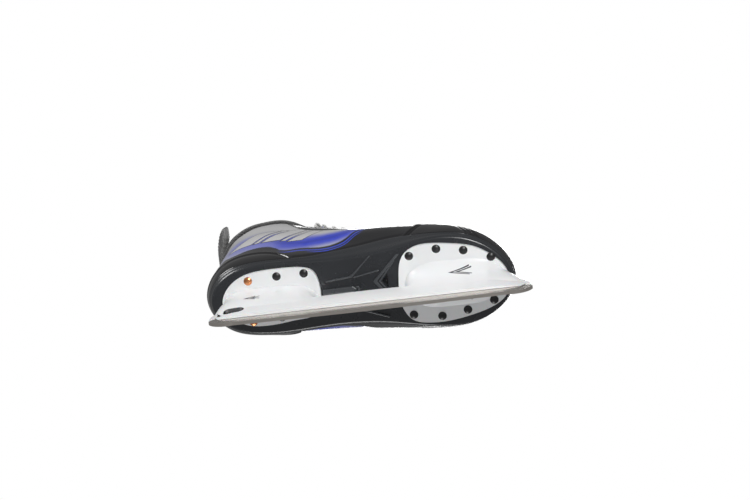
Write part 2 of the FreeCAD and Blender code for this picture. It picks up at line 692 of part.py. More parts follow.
def build_lace(skin, marks, places):
    """The lace: a bar at the toe, then two ends that cross over between pairs of rows."""
    r = size("lace_radius")
    wall = size("facing_wall") + size("quarter_wall") + size("liner_wall")
    out, deep, fold = r + 0.9, wall + r + 0.8, r + 0.5

    def outside(side, row):
        point, normal = places[side][row]
        return point + normal * out

    def inside(side, row):
        point, normal = places[side][row]
        return point - normal * deep

    def over(side, row, share, lift):
        """A place on the way across from one row to the next."""
        mark = marks[row] + (marks[row + 1] - marks[row]) * share
        y = side * 27.0 * (1 - 2 * share)
        point, normal = skin_point(skin, mark, y)
        return point + normal * lift

    def lace_end(first):
        """One end, from the bar's hole on the first side up to the last laced row."""
        route, side = [], first
        for row in range(1, EYELETS - 1, 2):
            lift = r + 0.4 if side < 0 else 3 * r + 1.4
            route += [(inside(side, row - 1), fold), (inside(side, row), fold)]
            route += [(outside(side, row), fold)]
            route += [(over(side, row, 0.33, lift), None), (over(side, row, 0.67, lift), None)]
            side = -side
            route += [(outside(side, row + 1), fold)]
        tail = EYELETS - 2
        slack = (marks[tail] - marks[tail - 2]).normalize()
        low = inside(side, tail)
        route += [(low, fold)]
        route += [(low - slack * 16 + Vector(-3, -side * 1.5, 0), None)]
        route += [(low - slack * 30 + Vector(-7, -side * 3.5, 0), None)]
        return route

    # The bar lies over the skin at the lowest row.
    bar = [(outside(-1, 0), fold)]
    for y in (-13, 0, 13):
        point, normal = skin_point(skin, marks[0], y)
        bar.append((point + normal * (r + 0.6), None))
    bar.append((outside(1, 0), fold))
    route = list(reversed(lace_end(-1))) + bar + lace_end(1)
    solid("lace", tube(route, r), SOLE)

    tips = []
    for tip, last in ((route[0][0], route[1][0]), (route[-1][0], route[-2][0])):
        way = (tip - last).normalize()
        tips.append(Part.makeCylinder(r, AGLET_LENGTH, tip, way))
    solid("aglets", Part.makeCompound(tips), SOLE)


doc.recompute()
build_runner()
build_lever()
build_holder()
build_rivets()
facing_skin = foot_form(-size("facing_wall"))
rows = eyestay_marks(EYELETS)
eyelets = eyelet_places(facing_skin, rows)
build_boot(build_eyelets(eyelets))
build_tongue()
build_guard()
build_lace(facing_skin, rows, eyelets)
doc.recompute()

for obj in doc.Objects:
    if "Invalid" in obj.State or "Error" in obj.State:
        raise SystemExit(f"{obj.Label} failed: {obj.State}")
os.makedirs("parts", exist_ok=True)
for name, obj in nodes.items():
    shape = obj.Shape
    if shape.isNull() or not shape.isValid():
        raise SystemExit(f"{name} has no valid shape")
    shape.exportStep(f"parts/{name}.step")
    box = shape.BoundBox
    print(f"{name:22s} solids {len(shape.Solids):3d} volume {shape.Volume:10.1f}"
          f" x {box.XMin:7.1f} {box.XMax:7.1f} y {box.YMin:6.1f} {box.YMax:6.1f}"
          f" z {box.ZMin:6.1f} {box.ZMax:6.1f}")
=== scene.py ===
import math

import bmesh
import bpy
import numpy as np
from mathutils import Matrix, Vector


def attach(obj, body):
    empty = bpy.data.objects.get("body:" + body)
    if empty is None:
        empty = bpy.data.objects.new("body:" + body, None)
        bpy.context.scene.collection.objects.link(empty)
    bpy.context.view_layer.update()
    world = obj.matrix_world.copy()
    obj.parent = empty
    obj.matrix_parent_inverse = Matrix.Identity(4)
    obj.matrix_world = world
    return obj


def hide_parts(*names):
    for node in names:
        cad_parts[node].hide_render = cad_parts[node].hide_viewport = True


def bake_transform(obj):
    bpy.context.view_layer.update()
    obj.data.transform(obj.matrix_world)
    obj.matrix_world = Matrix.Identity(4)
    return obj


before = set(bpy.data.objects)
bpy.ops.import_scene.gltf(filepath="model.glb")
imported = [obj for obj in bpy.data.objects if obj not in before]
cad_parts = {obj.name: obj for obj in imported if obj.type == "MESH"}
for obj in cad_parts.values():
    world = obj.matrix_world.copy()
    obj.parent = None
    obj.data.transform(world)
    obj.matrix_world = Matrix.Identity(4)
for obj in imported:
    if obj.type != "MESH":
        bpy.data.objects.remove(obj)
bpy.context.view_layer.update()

# The looks of one ice hockey skate, in metres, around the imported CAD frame.
# The boot is drawn from the same foot form as the CAD: sections in millimetres in the
# sole's own frame, which is pitched down to the toe.

MM = 0.001
SOLE_HEIGHT = 69.3
SOLE_PITCH = math.radians(4.02)
COS, SIN = math.cos(SOLE_PITCH), math.sin(SOLE_PITCH)

# ------------------------------------------------------------------ the foot form

SHARES = (0.06, 0.16, 0.38, 0.60, 0.80, 0.93)
SECTIONS = [
    (0, -145, 125, (23, 30, 29, 33, 40, 28), (23, 30, 28, 31, 39, 30)),
    (12, -151, 128.5, (27, 34.5, 34, 37, 43.5, 31), (27, 34.5, 35.5, 38.5, 42.5, 31)),
    (30, -154, 121, (29, 37, 37.5, 42.5, 45, 31.5), (29, 37.5, 40.5, 43.5, 43.5, 31)),
    (45, -154.5, 103, (29, 38, 41, 45.5, 42, 25), (29, 38.5, 42.5, 44, 40, 25)),
    (60, -155, 73, (29, 39, 43, 44, 36, 18), (29, 39, 43, 42, 32.5, 18)),
    (80, -155, 32, (28, 39, 43, 43, 34, 17), (28, 39, 43, 41, 29.5, 16)),
    (105, -155, -13, (26, 37, 43, 41, 30, 17), (26, 37, 43, 41, 30, 17)),
    (130, -157.5, -40, (26, 36, 41.5, 40, 30, 17), (26, 36, 41.5, 40, 30, 17)),
    (158, -162, -62, (25, 34, 38.5, 38.5, 30, 17), (25, 34, 38.5, 38.5, 30, 17)),
    (185, -168, -72, (25, 33, 37, 37, 30, 17), (25, 33, 37, 37, 30, 17)),
]
COLLAR_LINE = [(-200, 119), (-152, 118), (-138, 123), (-122, 136), (-108, 145), (-95, 150.5),
               (-84, 151), (-73, 144), (-54, 125), (-33, 105), (-6, 89.5), (25, 74.5),
               (50, 64), (66, 57)]
OUTSOLE_LINE = [(-200, 8), (-150, 8), (-104, 7), (-72, 6.5), (-54, 8), (-34, 13), (-10, 17),
                (12, 19), (32, 17), (60, 10), (88, 7), (150, 7)]
COUNTER_LINE = [(-200, 22), (-150, 23), (-128, 26), (-108, 27), (-90, 22), (-76, 13), (-66, 4)]
TOE_FOOT, TOE_TOP = (30, 18), (62, 70)      # the toe cap's rear edge in side view
TOP_HEIGHT = 185.0
ARCH_X, ARCH_REACH, ARCH_DROP, LOWEST_WALL = -36, 30, 10, 4.8


def spline_matrix(knots, at, period=None):
    """Rows that turn values at the knots into a cubic spline's values at the places asked for."""
    knots, at = np.asarray(knots, float), np.asarray(at, float)
    n = len(knots)
    ends = np.append(knots, knots[0] + period) if period else knots
    step = np.diff(ends)
    left, right = np.eye(n), np.zeros((n, n))
    for i in range(n) if period else range(1, n - 1):
        a, b = (i - 1) % n, (i + 1) % n
        h0, h1 = step[a], step[i]
        left[i] = 0
        left[i, a], left[i, i], left[i, b] = h0, 2 * (h0 + h1), h1
        right[i, b] += 6 / h1
        right[i, i] -= 6 / h1 + 6 / h0
        right[i, a] += 6 / h0
    bend = np.linalg.solve(left, right)
    where = (at - knots[0]) % period + knots[0] if period else at
    i = np.clip(np.searchsorted(ends, where, side="right") - 1, 0, len(step) - 1)
    j = (i + 1) % n
    b = (where - ends[i]) / step[i]
    a = 1 - b
    rows = np.zeros((len(at), n))
    pick = np.arange(len(at))
    np.add.at(rows, (pick, i), a)
    np.add.at(rows, (pick, j), b)
    scale = (step[i] ** 2 / 6)[:, None]
    return rows + ((a ** 3 - a)[:, None] * bend[i] + (b ** 3 - b)[:, None] * bend[j]) * scale


def unit(vectors):
    return vectors / np.maximum(np.linalg.norm(vectors, axis=-1, keepdims=True), 1e-9)


def level(normals):
    """Surface normals turned level with the sole."""
    return unit(normals * np.array([1.0, 1.0, 0.0]))


def distances(points):
    """How far along its line each point lies, for one line or for a grid's columns."""
    steps = np.linalg.norm(np.diff(points, axis=0), axis=-1)
    return np.concatenate([np.zeros((1,) + steps.shape[1:]), np.cumsum(steps, axis=0)])


def resampled(points, at, wanted):
    """A line's points read off at other distances."""
    return np.column_stack([np.interp(wanted, at, column) for column in points.T])


def section_points(section):
    _, heel, toe, outer, inner = section
    span = toe - heel
    along = [heel + share * span for share in SHARES]
    points = [(heel, 0)] + [(x, -w) for x, w in zip(along, outer)] + [(toe, span * 0.02)]
    return points + [(x, w) for x, w in zip(reversed(along), reversed(inner))]


RING = np.array([section_points(s) for s in SECTIONS], float)
HEIGHTS = [s[0] for s in SECTIONS]
CHORDS = np.linalg.norm(np.roll(RING[2], -1, 0) - RING[2], axis=1)
TURN_KNOTS = np.concatenate([[0], np.cumsum(CHORDS)[:-1]]) / CHORDS.sum()
TOE_TURN = TURN_KNOTS[7]
TURN_STEP, RISE_STEP = 2e-4, 0.1     # for the slopes that give the surface's normals


def skin(turn, height):
    """The foot form's surface: turn goes once round from the heel by the outer side."""
    turn, height = np.broadcast_arrays(turn, height)
    across = spline_matrix(TURN_KNOTS, turn.ravel(), 1.0)
    upward = spline_matrix(HEIGHTS, height.ravel())
    flat = np.einsum("ni,ijk,nj->nk", upward, RING, across)
    out = np.column_stack([flat, height.ravel()])
    return out.reshape(turn.shape + (3,))


def skin_normals(turn, height):
    turn, height = np.broadcast_arrays(turn, height)
    d_turn = skin(turn + TURN_STEP, height) - skin(turn - TURN_STEP, height)
    d_up = skin(turn, height + RISE_STEP) - skin(turn, height - RISE_STEP)
    return unit(np.cross(d_turn, d_up))


def line_height(points, x):
    """A side-view line's height over x, as a smooth curve."""
    xs, zs = zip(*points)
    dense = np.linspace(xs[0], xs[-1], 400)
    return np.interp(x, dense, spline_matrix(xs, dense) @ np.array(zs, float))


PROBE_TURNS = np.linspace(0, 1, 401)
PROBE_HEIGHTS = np.linspace(0, TOP_HEIGHT, 371)
PROBE = skin(PROBE_TURNS[:, None], PROBE_HEIGHTS[None, :])


def first_crossing(value):
    """For each probe column, the lowest height where a signed value turns positive."""
    found = np.full(len(PROBE_TURNS), TOP_HEIGHT)
    for i, row in enumerate(value):
        above = np.nonzero(row >= 0)[0]
        if len(above) and above[0] == 0:
            found[i] = 0
        elif len(above):
            k = above[0]
            share = -row[k - 1] / (row[k] - row[k - 1])
            found[i] = PROBE_HEIGHTS[k - 1] + share * (PROBE_HEIGHTS[k] - PROBE_HEIGHTS[k - 1])
    return found


def height_on(points, shift=0.0):
    return first_crossing(PROBE[..., 2] - line_height(points, PROBE[..., 0]) - shift)


def toe_crossing():
    (x0, z0), (x1, z1) = TOE_FOOT, TOE_TOP
    edge = x0 + (PROBE[..., 2] - z0) * (x1 - x0) / (z1 - z0)
    return first_crossing(edge - PROBE[..., 0])


COLLAR = height_on(COLLAR_LINE)
OUTSOLE = height_on(OUTSOLE_LINE)
# The sole's wall runs low along the inner arch.
ARCH_DIP = ARCH_DROP * np.exp(-((skin(PROBE_TURNS, OUTSOLE)[:, 0] - ARCH_X) / ARCH_REACH) ** 4)
OUTSOLE = np.where(PROBE_TURNS > 0.5, np.maximum(OUTSOLE - ARCH_DIP, LOWEST_WALL), OUTSOLE)
COUNTER = height_on(COUNTER_LINE)
TOE_EDGE = toe_crossing()


def at_turn(table, turn):
    return np.interp(np.mod(turn, 1.0), PROBE_TURNS, table)


def to_world(points):
    """Sole-frame millimetres to the frame's metres."""
    p = np.asarray(points, float)
    x, y, z = p[..., 0], p[..., 1], p[..., 2]
    return np.stack([x * COS + z * SIN, y, SOLE_HEIGHT - x * SIN + z * COS], -1) * MM


# ------------------------------------------------------------------ mesh tools

def new_object(name, verts, faces, smooth=True):
    mesh = bpy.data.meshes.new(name)
    mesh.from_pydata([tuple(v) for v in verts], [], [tuple(f) for f in faces])
    mesh.validate()
    mesh.update()
    obj = bpy.data.objects.new(name, mesh)
    bpy.context.scene.collection.objects.link(obj)
    tidy(obj)
    mesh.shade_smooth() if smooth else mesh.shade_flat()
    return obj


def tidy(obj):
    """Merge doubled points and make the faces look outwards."""
    work = bmesh.new()
    work.from_mesh(obj.data)
    bmesh.ops.remove_doubles(work, verts=work.verts, dist=0.00002)
    bmesh.ops.dissolve_degenerate(work, edges=work.edges, dist=0.00001)
    bmesh.ops.recalc_face_normals(work, faces=work.faces)
    work.to_mesh(obj.data)
    work.free()


def sharpen(obj, angle):
    """Smooth shading that keeps the corners sharper than an angle in degrees."""
    work = bmesh.new()
    work.from_mesh(obj.data)
    for edge in work.edges:
        if len(edge.link_faces) == 2:
            edge.smooth = edge.calc_face_angle(0) < math.radians(angle)
    work.to_mesh(obj.data)
    work.free()


def grid_faces(rows, columns, start=0, closed=False):
    faces = []
    for i in range(rows - 1):
        for j in range(columns if closed else columns - 1):
            k = (j + 1) % columns
            faces.append((start + i * columns + j, start + i * columns + k,
                          start + (i + 1) * columns + k, start + (i + 1) * columns + j))
    return faces


def capped_faces(rows, columns):
    """Faces of a tube of closed rings, with a flat face at each end."""
    return grid_faces(rows, columns, closed=True) + [
        tuple(range(columns)), tuple(range((rows - 1) * columns, rows * columns))]


def shell_mesh(name, outer, inner):
    """A closed skin between two grids of the same size, given in world metres."""
    rows, columns = outer.shape[:2]
    count = rows * columns
    verts = np.concatenate([outer.reshape(-1, 3), inner.reshape(-1, 3)])
    faces = grid_faces(rows, columns)
    faces += [tuple(reversed(f)) for f in grid_faces(rows, columns, count)]
    rim = [i * columns for i in range(rows)]
    rim += [(rows - 1) * columns + j for j in range(1, columns)]
    rim += [i * columns + columns - 1 for i in range(rows - 2, -1, -1)]
    rim += list(range(columns - 2, 0, -1))
    for a, b in zip(rim, rim[1:] + rim[:1]):
        faces.append((a, b, b + count, a + count))
    return new_object(name, verts, faces)


def rounded(distance, radius):
    """A quarter-round edge: 0 at the edge, 1 from the radius inwards."""
    t = np.clip(distance / radius, 0, 1)
    return np.sqrt(np.maximum(1 - (1 - t) ** 2, 0))


def edge_spaced(count, tight=0.5):
    """Shares from 0 to 1, a little closer together at both ends."""
    t = np.linspace(0, 1, count)
    return t * (1 - tight) + tight * (0.5 - 0.5 * np.cos(np.pi * t))


def panel(name, turns, low, high, rows, over, under, edge=1.2, relief=None):
    """A panel of the boot: part of the foot form, with thickness and rounded edges.

    relief(base, up, down) gives extra height from the points and their distances from
    the panel's lower and upper edges.
    """
    share = edge_spaced(rows, 0.75)[:, None]
    turns = turns[None, :]
    height = low[None, :] + (high - low)[None, :] * share
    base, normal = skin(turns, height), skin_normals(turns, height)
    along, up = distances(base.swapaxes(0, 1)).T, distances(base)
    down = up[-1:] - up
    side = np.minimum(along, along[:, -1:] - along)
    soft = rounded(np.minimum(side, np.minimum(up, down)), edge)
    lift = under + (over - under) * soft
    if relief:
        lift = lift + relief(base, up, down) * soft
    outer = to_world(base + normal * lift[..., None])
    inner = to_world(base + normal * (under - 0.05))
    return shell_mesh(name, outer, inner)


def tube(name, path, normals, half_width, half_height, sides):
    """A swept band: a flattened round carried along a path with given up directions."""
    forward = unit(np.gradient(path, axis=0))
    normals = unit(normals - forward * np.sum(normals * forward, axis=1, keepdims=True))
    across = np.cross(forward, normals)
    angle = np.linspace(0, 2 * np.pi, sides, endpoint=False)
    wide, high = (np.sign(v) * np.abs(v) ** 0.6 for v in (np.cos(angle), np.sin(angle)))
    rings = (path[:, None] + across[:, None] * wide[None, :, None] * half_width[:, None, None]
             + normals[:, None] * high[None, :, None] * half_height[:, None, None])
    return new_object(name, rings.reshape(-1, 3), capped_faces(len(path), sides))


def smooth_path(points, count):
    """A spline through given points, spaced by their distances."""
    along = distances(points)
    return spline_matrix(along, np.linspace(0, along[-1], count)) @ points


def prism(name, corners, low, high, bevel=0.0):
    """A flat-sided relief in the sole frame, from a polygon of (x, y) corners."""
    n = len(corners)
    verts = [(x, y, low) for x, y in corners] + [(x, y, high) for x, y in corners]
    faces = [tuple(range(n)), tuple(range(n, 2 * n))]
    faces += [(i, (i + 1) % n, n + (i + 1) % n, n + i) for i in range(n)]
    obj = new_object(name, to_world(verts), faces, smooth=False)
    if bevel:
        mod = obj.modifiers.new("bevel", "BEVEL")
        mod.width, mod.segments = bevel * MM, 2
        apply_modifiers(obj)
    return obj


def apply_modifiers(obj):
    bpy.context.view_layer.update()
    done = bpy.data.meshes.new_from_object(
        obj.evaluated_get(bpy.context.evaluated_depsgraph_get()))
    obj.modifiers.clear()
    obj.data = done


def join(name, objects):
    """One object out of several loose ones."""
    work = bmesh.new()
    for obj in objects:
        work.from_mesh(obj.data)
        bpy.data.objects.remove(obj)
    mesh = bpy.data.meshes.new(name)
    work.to_mesh(mesh)
    work.free()
    whole = bpy.data.objects.new(name, mesh)
    bpy.context.scene.collection.objects.link(whole)
    return whole


def finish_piece(obj, material, body="boot", replaces=()):
    obj.data.materials.clear()
    obj.data.materials.append(material)
    if body:
        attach(obj, body)
    if replaces:
        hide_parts(*replaces)
    return obj


# ------------------------------------------------------------------ materials

class Shader:
    """A short way to write node materials."""

    def __init__(self, name, color=(0.5, 0.5, 0.5), rough=0.5, **sockets):
        self.material = bpy.data.materials.new(name)
        self.material.use_nodes = True
        self.tree = self.material.node_tree
        self.bsdf = self.tree.nodes["Principled BSDF"]
        self.bsdf.inputs["Base Color"].default_value = (*color, 1)
        self.bsdf.inputs["Roughness"].default_value = rough
        for socket, value in sockets.items():
            self.bsdf.inputs[socket.replace("_", " ")].default_value = value

    def node(self, kind, **settings):
        made = self.tree.nodes.new(kind)
        for key, value in settings.items():
            setattr(made, key, value)
        return made

    def link(self, source, target):
        """Join a socket to an input, or set the input to a plain number or colour."""
        if isinstance(source, (int, float, tuple)):
            target.default_value = source
        else:
            self.tree.links.new(source, target)

    def math(self, operation, a, b=0.0, c=0.0, clamp=False):
        made = self.node("ShaderNodeMath", operation=operation, use_clamp=clamp)
        for value, socket in zip((a, b, c), made.inputs):
            self.link(value, socket)
        return made.outputs[0]

    def add(self, a, b):
        return self.math("ADD", a, b)

    def sub(self, a, b):
        return self.math("SUBTRACT", a, b)

    def mul(self, a, b, clamp=False):
        return self.math("MULTIPLY", a, b, clamp=clamp)

    def mad(self, a, scale, offset):
        return self.math("MULTIPLY_ADD", a, scale, offset)

    def abs(self, a):
        return self.math("ABSOLUTE", a)

    def place(self):
        """The point on the object, in metres."""
        return self.node("ShaderNodeTexCoord").outputs["Object"]

    def place_mm(self):
        """The point on the object, as x, y and z in millimetres."""
        split = self.node("ShaderNodeSeparateXYZ")
        self.link(self.place(), split.inputs[0])
        return [self.mul(part, 1000.0) for part in split.outputs]

    def sole_place(self):
        """Distance along and height over the sole, in millimetres."""
        x, _, z = self.place_mm()
        z = self.sub(z, SOLE_HEIGHT)
        return (self.sub(self.mul(x, COS), self.mul(z, SIN)),
                self.add(self.mul(x, SIN), self.mul(z, COS)))

    def filled(self, kind, inputs, **settings):
        """A node with its named inputs joined or set."""
        made = self.node(kind, **settings)
        for socket, source in inputs.items():
            self.link(source, made.inputs[socket])
        return made

    def noise(self, scale, detail=4.0, rough=0.55, vector=None):
        return self.filled("ShaderNodeTexNoise", {
            "Vector": vector or self.place(), "Scale": scale, "Detail": detail,
            "Roughness": rough}).outputs["Fac"]

    def wave(self, vector, scale, direction):
        return self.filled("ShaderNodeTexWave", {"Vector": vector, "Scale": scale},
                           bands_direction=direction).outputs["Fac"]

    def step(self, value, low, high):
        """0 below low, 1 above high, smooth between."""
        return self.filled("ShaderNodeMapRange", {
            "Value": value, "From Min": low, "From Max": high},
            interpolation_type="SMOOTHSTEP").outputs[0]

    def curve(self, value, points):
        """A curve of a value; points give (value, result) from end to end."""
        low, high = points[0][0], points[-1][0]
        made = self.filled("ShaderNodeMapRange", {
            "Value": value, "From Min": low, "From Max": high})
        results = [r for _, r in points]
        floor, span = min(results), max(max(results) - min(results), 1e-6)
        shape = self.node("ShaderNodeFloatCurve")
        self.link(made.outputs[0], shape.inputs["Value"])
        line = shape.mapping.curves[0]
        marks = [((v - low) / (high - low), (r - floor) / span) for v, r in points]
        while len(line.points) < len(marks):
            line.points.new(0.5, 0.5)
        for mark, position in zip(line.points, marks):
            mark.location = position
        shape.mapping.update()
        return self.math("MULTIPLY_ADD", shape.outputs[0], span, floor)

    def mix(self, share, a, b, kind="RGBA"):
        made = self.node("ShaderNodeMix", data_type=kind)
        for source, socket in ((share, "Factor"), (a, "A"), (b, "B")):
            self.link((*source, 1) if isinstance(source, tuple) else source, made.inputs[socket])
        return made.outputs["Result"]

    def color(self, source):
        self.link(source, self.bsdf.inputs["Base Color"])

    def rough(self, source):
        self.link(source, self.bsdf.inputs["Roughness"])

    def bump(self, height, distance=0.0002, strength=1.0):
        made = self.node("ShaderNodeBump")
        made.inputs["Strength"].default_value = strength
        made.inputs["Distance"].default_value = distance
        self.link(height, made.inputs["Height"])
        previous = self.bsdf.inputs["Normal"].links
        if previous:
            self.link(previous[0].from_socket, made.inputs["Normal"])
        self.link(made.outputs[0], self.bsdf.inputs["Normal"])


def moulded(name, color, rough, grain=0.00006, grain_scale=900, spread=0.06, **sockets):
    """Moulded plastic: a fine grain, faint colour change and scuffed sheen."""
    s = Shader(name, color, rough, **sockets)
    drift = s.noise(28, 3)
    light = tuple(min(1.0, c * (1 + spread * 2) + spread * 0.05) for c in color)
    dark = tuple(c * (1 - spread * 2) for c in color)
    s.color(s.mix(drift, dark, light))
    s.rough(s.mad(s.noise(160, 5), 0.16, rough - 0.08))
    s.bump(s.noise(grain_scale, 3), grain)
    return s


def ribbed(name, color, light, rough, scale, direction):
    """Ribbed knit or grosgrain: close ridges with a fine weave across them."""
    s = Shader(name, color, rough, Sheen_Weight=0.35)
    place = s.place()
    ribs = s.wave(place, scale, direction)
    weave = s.wave(place, scale * 3.1, "X")
    fibre = s.noise(1400, 3)
    s.color(s.mix(s.mul(ribs, s.mad(fibre, 0.6, 0.6)), color, light))
    s.bump(s.mad(weave, 0.35, ribs), 0.00035)
    s.bump(fibre, 0.00008)
    return s


def woven(name, color, light, rough, scale):
    """Close woven or brushed fabric."""
    s = Shader(name, color, rough, Sheen_Weight=0.4)
    place = s.place()
    warp, weft = s.wave(place, scale, "X"), s.wave(place, scale, "Z")
    over = s.wave(place, scale, "Y")
    cloth = s.mul(s.add(warp, over), weft)
    s.color(s.mix(s.mul(cloth, s.noise(60, 4)), color, light))
    s.bump(cloth, 0.00012)
    s.bump(s.noise(90, 4), 0.0003)
    return s


# The quarters' print, by distance along the sole: the silver field's lower edge, the
# core and the reach of the blue fade, and the silver field's upper edge.
PRINTS = {
    "quarter_lateral": {
        "edge": [(-160, 58), (-141, 49.5), (-128, 40), (-114, 43), (-102, 43), (-89, 36),
                 (-78, 28), (-65, 30), (-45, 28), (-32, 31), (-12, 50), (15, 68), (70, 84)],
        "core": [(-160, 66), (-124, 61), (-100, 57), (-81, 46), (-67, 43), (-44, 43),
                 (-29, 46), (-12, 58), (15, 74), (70, 90)],
        "reach": [(-160, 8), (-124, 31), (-100, 33), (-81, 27), (-60, 19), (-40, 15),
                  (-20, 17), (0, 14), (70, 4)],
        "upper": [(-160, 109), (-138, 113), (-122, 125), (-108, 132), (-97, 134), (-88, 122),
                  (-79, 101), (-70, 86), (-58, 76), (-45, 70), (-30, 67), (-10, 64), (70, 60)],
    },
    "quarter_medial": {
        "edge": [(-160, 66), (-128, 62), (-104, 50), (-78, 26), (-60, 9), (-45, 6), (-30, 8),
                 (-14, 18), (8, 36), (30, 56), (70, 70)],
        "core": [(-160, 76), (-128, 76), (-104, 66), (-78, 46), (-60, 26), (-45, 18),
                 (-30, 20), (-14, 30), (8, 46), (70, 76)],
        "reach": [(-160, 10), (-104, 24), (-70, 22), (-40, 18), (0, 14), (70, 4)],
        "upper": [(-160, 109), (-138, 113), (-122, 125), (-108, 132), (-97, 134), (-88, 124),
                  (-79, 108), (-58, 88), (-30, 76), (-10, 70), (70, 62)],
    },
}
FADE_STRENGTH = [(-160, 0.0), (-140, 0.35), (-124, 0.72), (-100, 0.74), (-78, 0.96),
                 (-20, 1.0), (70, 0.8)]
BLUE, DEEP_BLUE, LINE_BLUE = (0.03, 0.055, 0.55), (0.012, 0.02, 0.2), (0.03, 0.06, 0.5)
PRINT_BLACK, BLOCK_EDGE = (0.006, 0.006, 0.0075), (0.05, 0.05, 0.07)
# Leaning blocks: start along the sole, width, and lower and upper ends.
BLOCKS = ((-124, 21, 57, 87), (-99, 4, 56, 86), (-90, 17, 55, 85), (-69, 4, 52, 80),
          (-60, 13, 49, 76))
# Thin blue lines: drop under the field's edge, width, start and end along the sole.
STREAKS = ((5.0, 1.1, -88, 8), (9.5, 0.7, -62, -4))


def quarter_material(name, side):
    """Printed quarter: silver with a blue fade over black, and plain leaning blocks."""
    s = Shader(name, (0.5, 0.5, 0.5), 0.28, Coat_Weight=0.35, Coat_Roughness=0.12)
    x, z = s.sole_place()
    edge, core, reach, upper = (s.curve(x, PRINTS[side][line])
                                for line in ("edge", "core", "reach", "upper"))
    metal = s.mix(s.noise(2400, 2), (0.50, 0.50, 0.51), (0.66, 0.655, 0.655))
    off_core = s.math("DIVIDE", s.abs(s.sub(z, core)), reach)
    fade = s.mul(s.step(s.sub(1.25, off_core), 0.0, 1.0), s.mad(s.noise(45, 2), 0.3, 0.82),
                 clamp=True)
    field = s.mix(s.mul(fade, s.curve(x, FADE_STRENGTH)), metal, BLUE)
    field = s.mix(s.mul(s.step(off_core, 0.25, 0.0), 0.35), field, DEEP_BLUE)
    if side == "quarter_lateral":
        field = leaning_blocks(s, x, z, field, metal)
    body = s.mix(s.noise(35, 3), PRINT_BLACK, (0.012, 0.012, 0.014))
    body = blue_streaks(s, x, z, edge, body)
    ahead = s.mad(z, 0.35, x)
    field = s.mix(s.step(ahead, 2.0, 26.0), field, body)
    print_edge = s.step(s.sub(z, edge), -1.0, 2.2)
    whole = s.mix(print_edge, body, field)
    # The eyestay panel above the print, with a thin silver line along its lower edge.
    above = s.sub(z, upper)
    whole = s.mix(s.step(above, -1.3, -0.9), whole, metal)
    whole = s.mix(s.step(above, -0.5, -0.1), whole, body)
    s.color(whole)
    s.rough(s.mix(print_edge, 0.2, 0.34, "FLOAT"))
    s.bump(s.step(above, -0.6, 0.4), 0.0004)
    s.bump(s.noise(700, 4), 0.00005)
    s.bump(print_edge, 0.00025)
    return s.material


def leaning_blocks(s, x, z, field, metal):
    """Plain leaning blocks, wide and narrow in turn, with dark edges."""
    lean = s.sub(x, s.mul(s.sub(z, 72.0), 0.8))
    for start, width, low, high in BLOCKS:
        inside = s.sub(lean, start)
        for away in (s.sub(start + width, lean), s.sub(z, low), s.sub(high, z)):
            inside = s.math("MINIMUM", inside, away)
        field = s.mix(s.step(inside, -1.6, -1.2), field, BLOCK_EDGE)
        field = s.mix(s.step(inside, -0.4, 0.0), field, metal)
    return field


def blue_streaks(s, x, z, edge, body):
    """Two thin blue lines under the printed field."""
    for drop, wide, start, end in STREAKS:
        line = s.abs(s.add(s.sub(z, edge), drop))
        on = s.mul(s.step(line, wide + 0.6, wide), s.step(x, start, start + 18))
        on = s.mul(on, s.step(x, end, end - 14))
        body = s.mix(on, body, LINE_BLUE)
    return body


# The holder's chevrons: tip along the tower, height, and arm length in millimetres.
CHEVRONS = ((72, 50, 17), (78, 50, 13), (-112, 47, 9), (-106, 47, 7))
WINDOW_X, WINDOW_Z, WINDOW_HALF_STRAIGHT = -121.0, 27.75, 4.6
# Dark grey for the chevrons' print, and for the painted shade round the lock window.
PRINT_AND_SHADE_GREY = (0.03, 0.03, 0.035)


def holder_material():
    """White moulded nylon with small plain chevrons printed on the towers, and painted shade
    round the lock window.
    """
    s = Shader("holder_white", (0.88, 0.89, 0.9), 0.3, Coat_Weight=0.25, Coat_Roughness=0.1,
               Subsurface_Weight=0.08, Subsurface_Scale=0.004)
    x, y, z = s.place_mm()
    base = s.mix(s.noise(22, 3), (0.84, 0.85, 0.86), (0.9, 0.905, 0.91))
    mark = 0.0
    for tip, level, arm in CHEVRONS:
        # The distance from a V that lies along the tower in side view.
        dx = s.sub(x, tip)
        v = s.abs(s.sub(dx, s.mul(s.abs(s.sub(z, level)), 3.2)))
        on = s.mul(s.step(v, 2.3, 1.7), s.step(dx, arm + 0.3, arm))
        mark = s.math("MAXIMUM", mark, on)
    mark = s.mul(mark, s.step(s.abs(y), 3.0, 4.0))
    # Painted shade: a rounded slot of dark grey round the lock window's cut, where its walls lie
    # in shadow.
    slot_x = s.math("MAXIMUM", s.sub(s.abs(s.sub(x, WINDOW_X)), WINDOW_HALF_STRAIGHT), 0.0)
    slot_z = s.sub(z, WINDOW_Z)
    rim = s.math("SQRT", s.add(s.mul(slot_x, slot_x), s.mul(slot_z, slot_z)))
    base = s.mix(s.step(rim, 4.95, 4.7), base, PRINT_AND_SHADE_GREY)
    s.color(s.mix(mark, base, PRINT_AND_SHADE_GREY))
    s.rough(s.mad(s.noise(120, 5), 0.14, 0.24))
    s.bump(s.noise(500, 3), 0.00004)
    return s.material


def steel_material():
    """Polished stainless with grinding lines along the edge."""
    s = Shader("runner_steel", (0.62, 0.6, 0.57), 0.22, Metallic=1.0)
    stretch = s.filled("ShaderNodeMapping", {"Vector": s.place(), "Scale": (0.03, 1.0, 1.0)})
    grind = s.noise(2600, 6, 0.6, stretch.outputs[0])
    ground = s.step(s.add(s.place_mm()[2], s.mul(s.noise(60, 2), 2.0)), 7.5, 5.0)
    tone = s.mix(grind, (0.58, 0.56, 0.53), (0.70, 0.67, 0.635))
    s.color(s.mix(s.mul(s.noise(9, 2), 0.35), tone, (0.66, 0.55, 0.45)))
    s.rough(s.add(s.mad(grind, 0.12, 0.17), s.mul(ground, 0.1)))
    s.bump(grind, 0.000012)
    return s.material


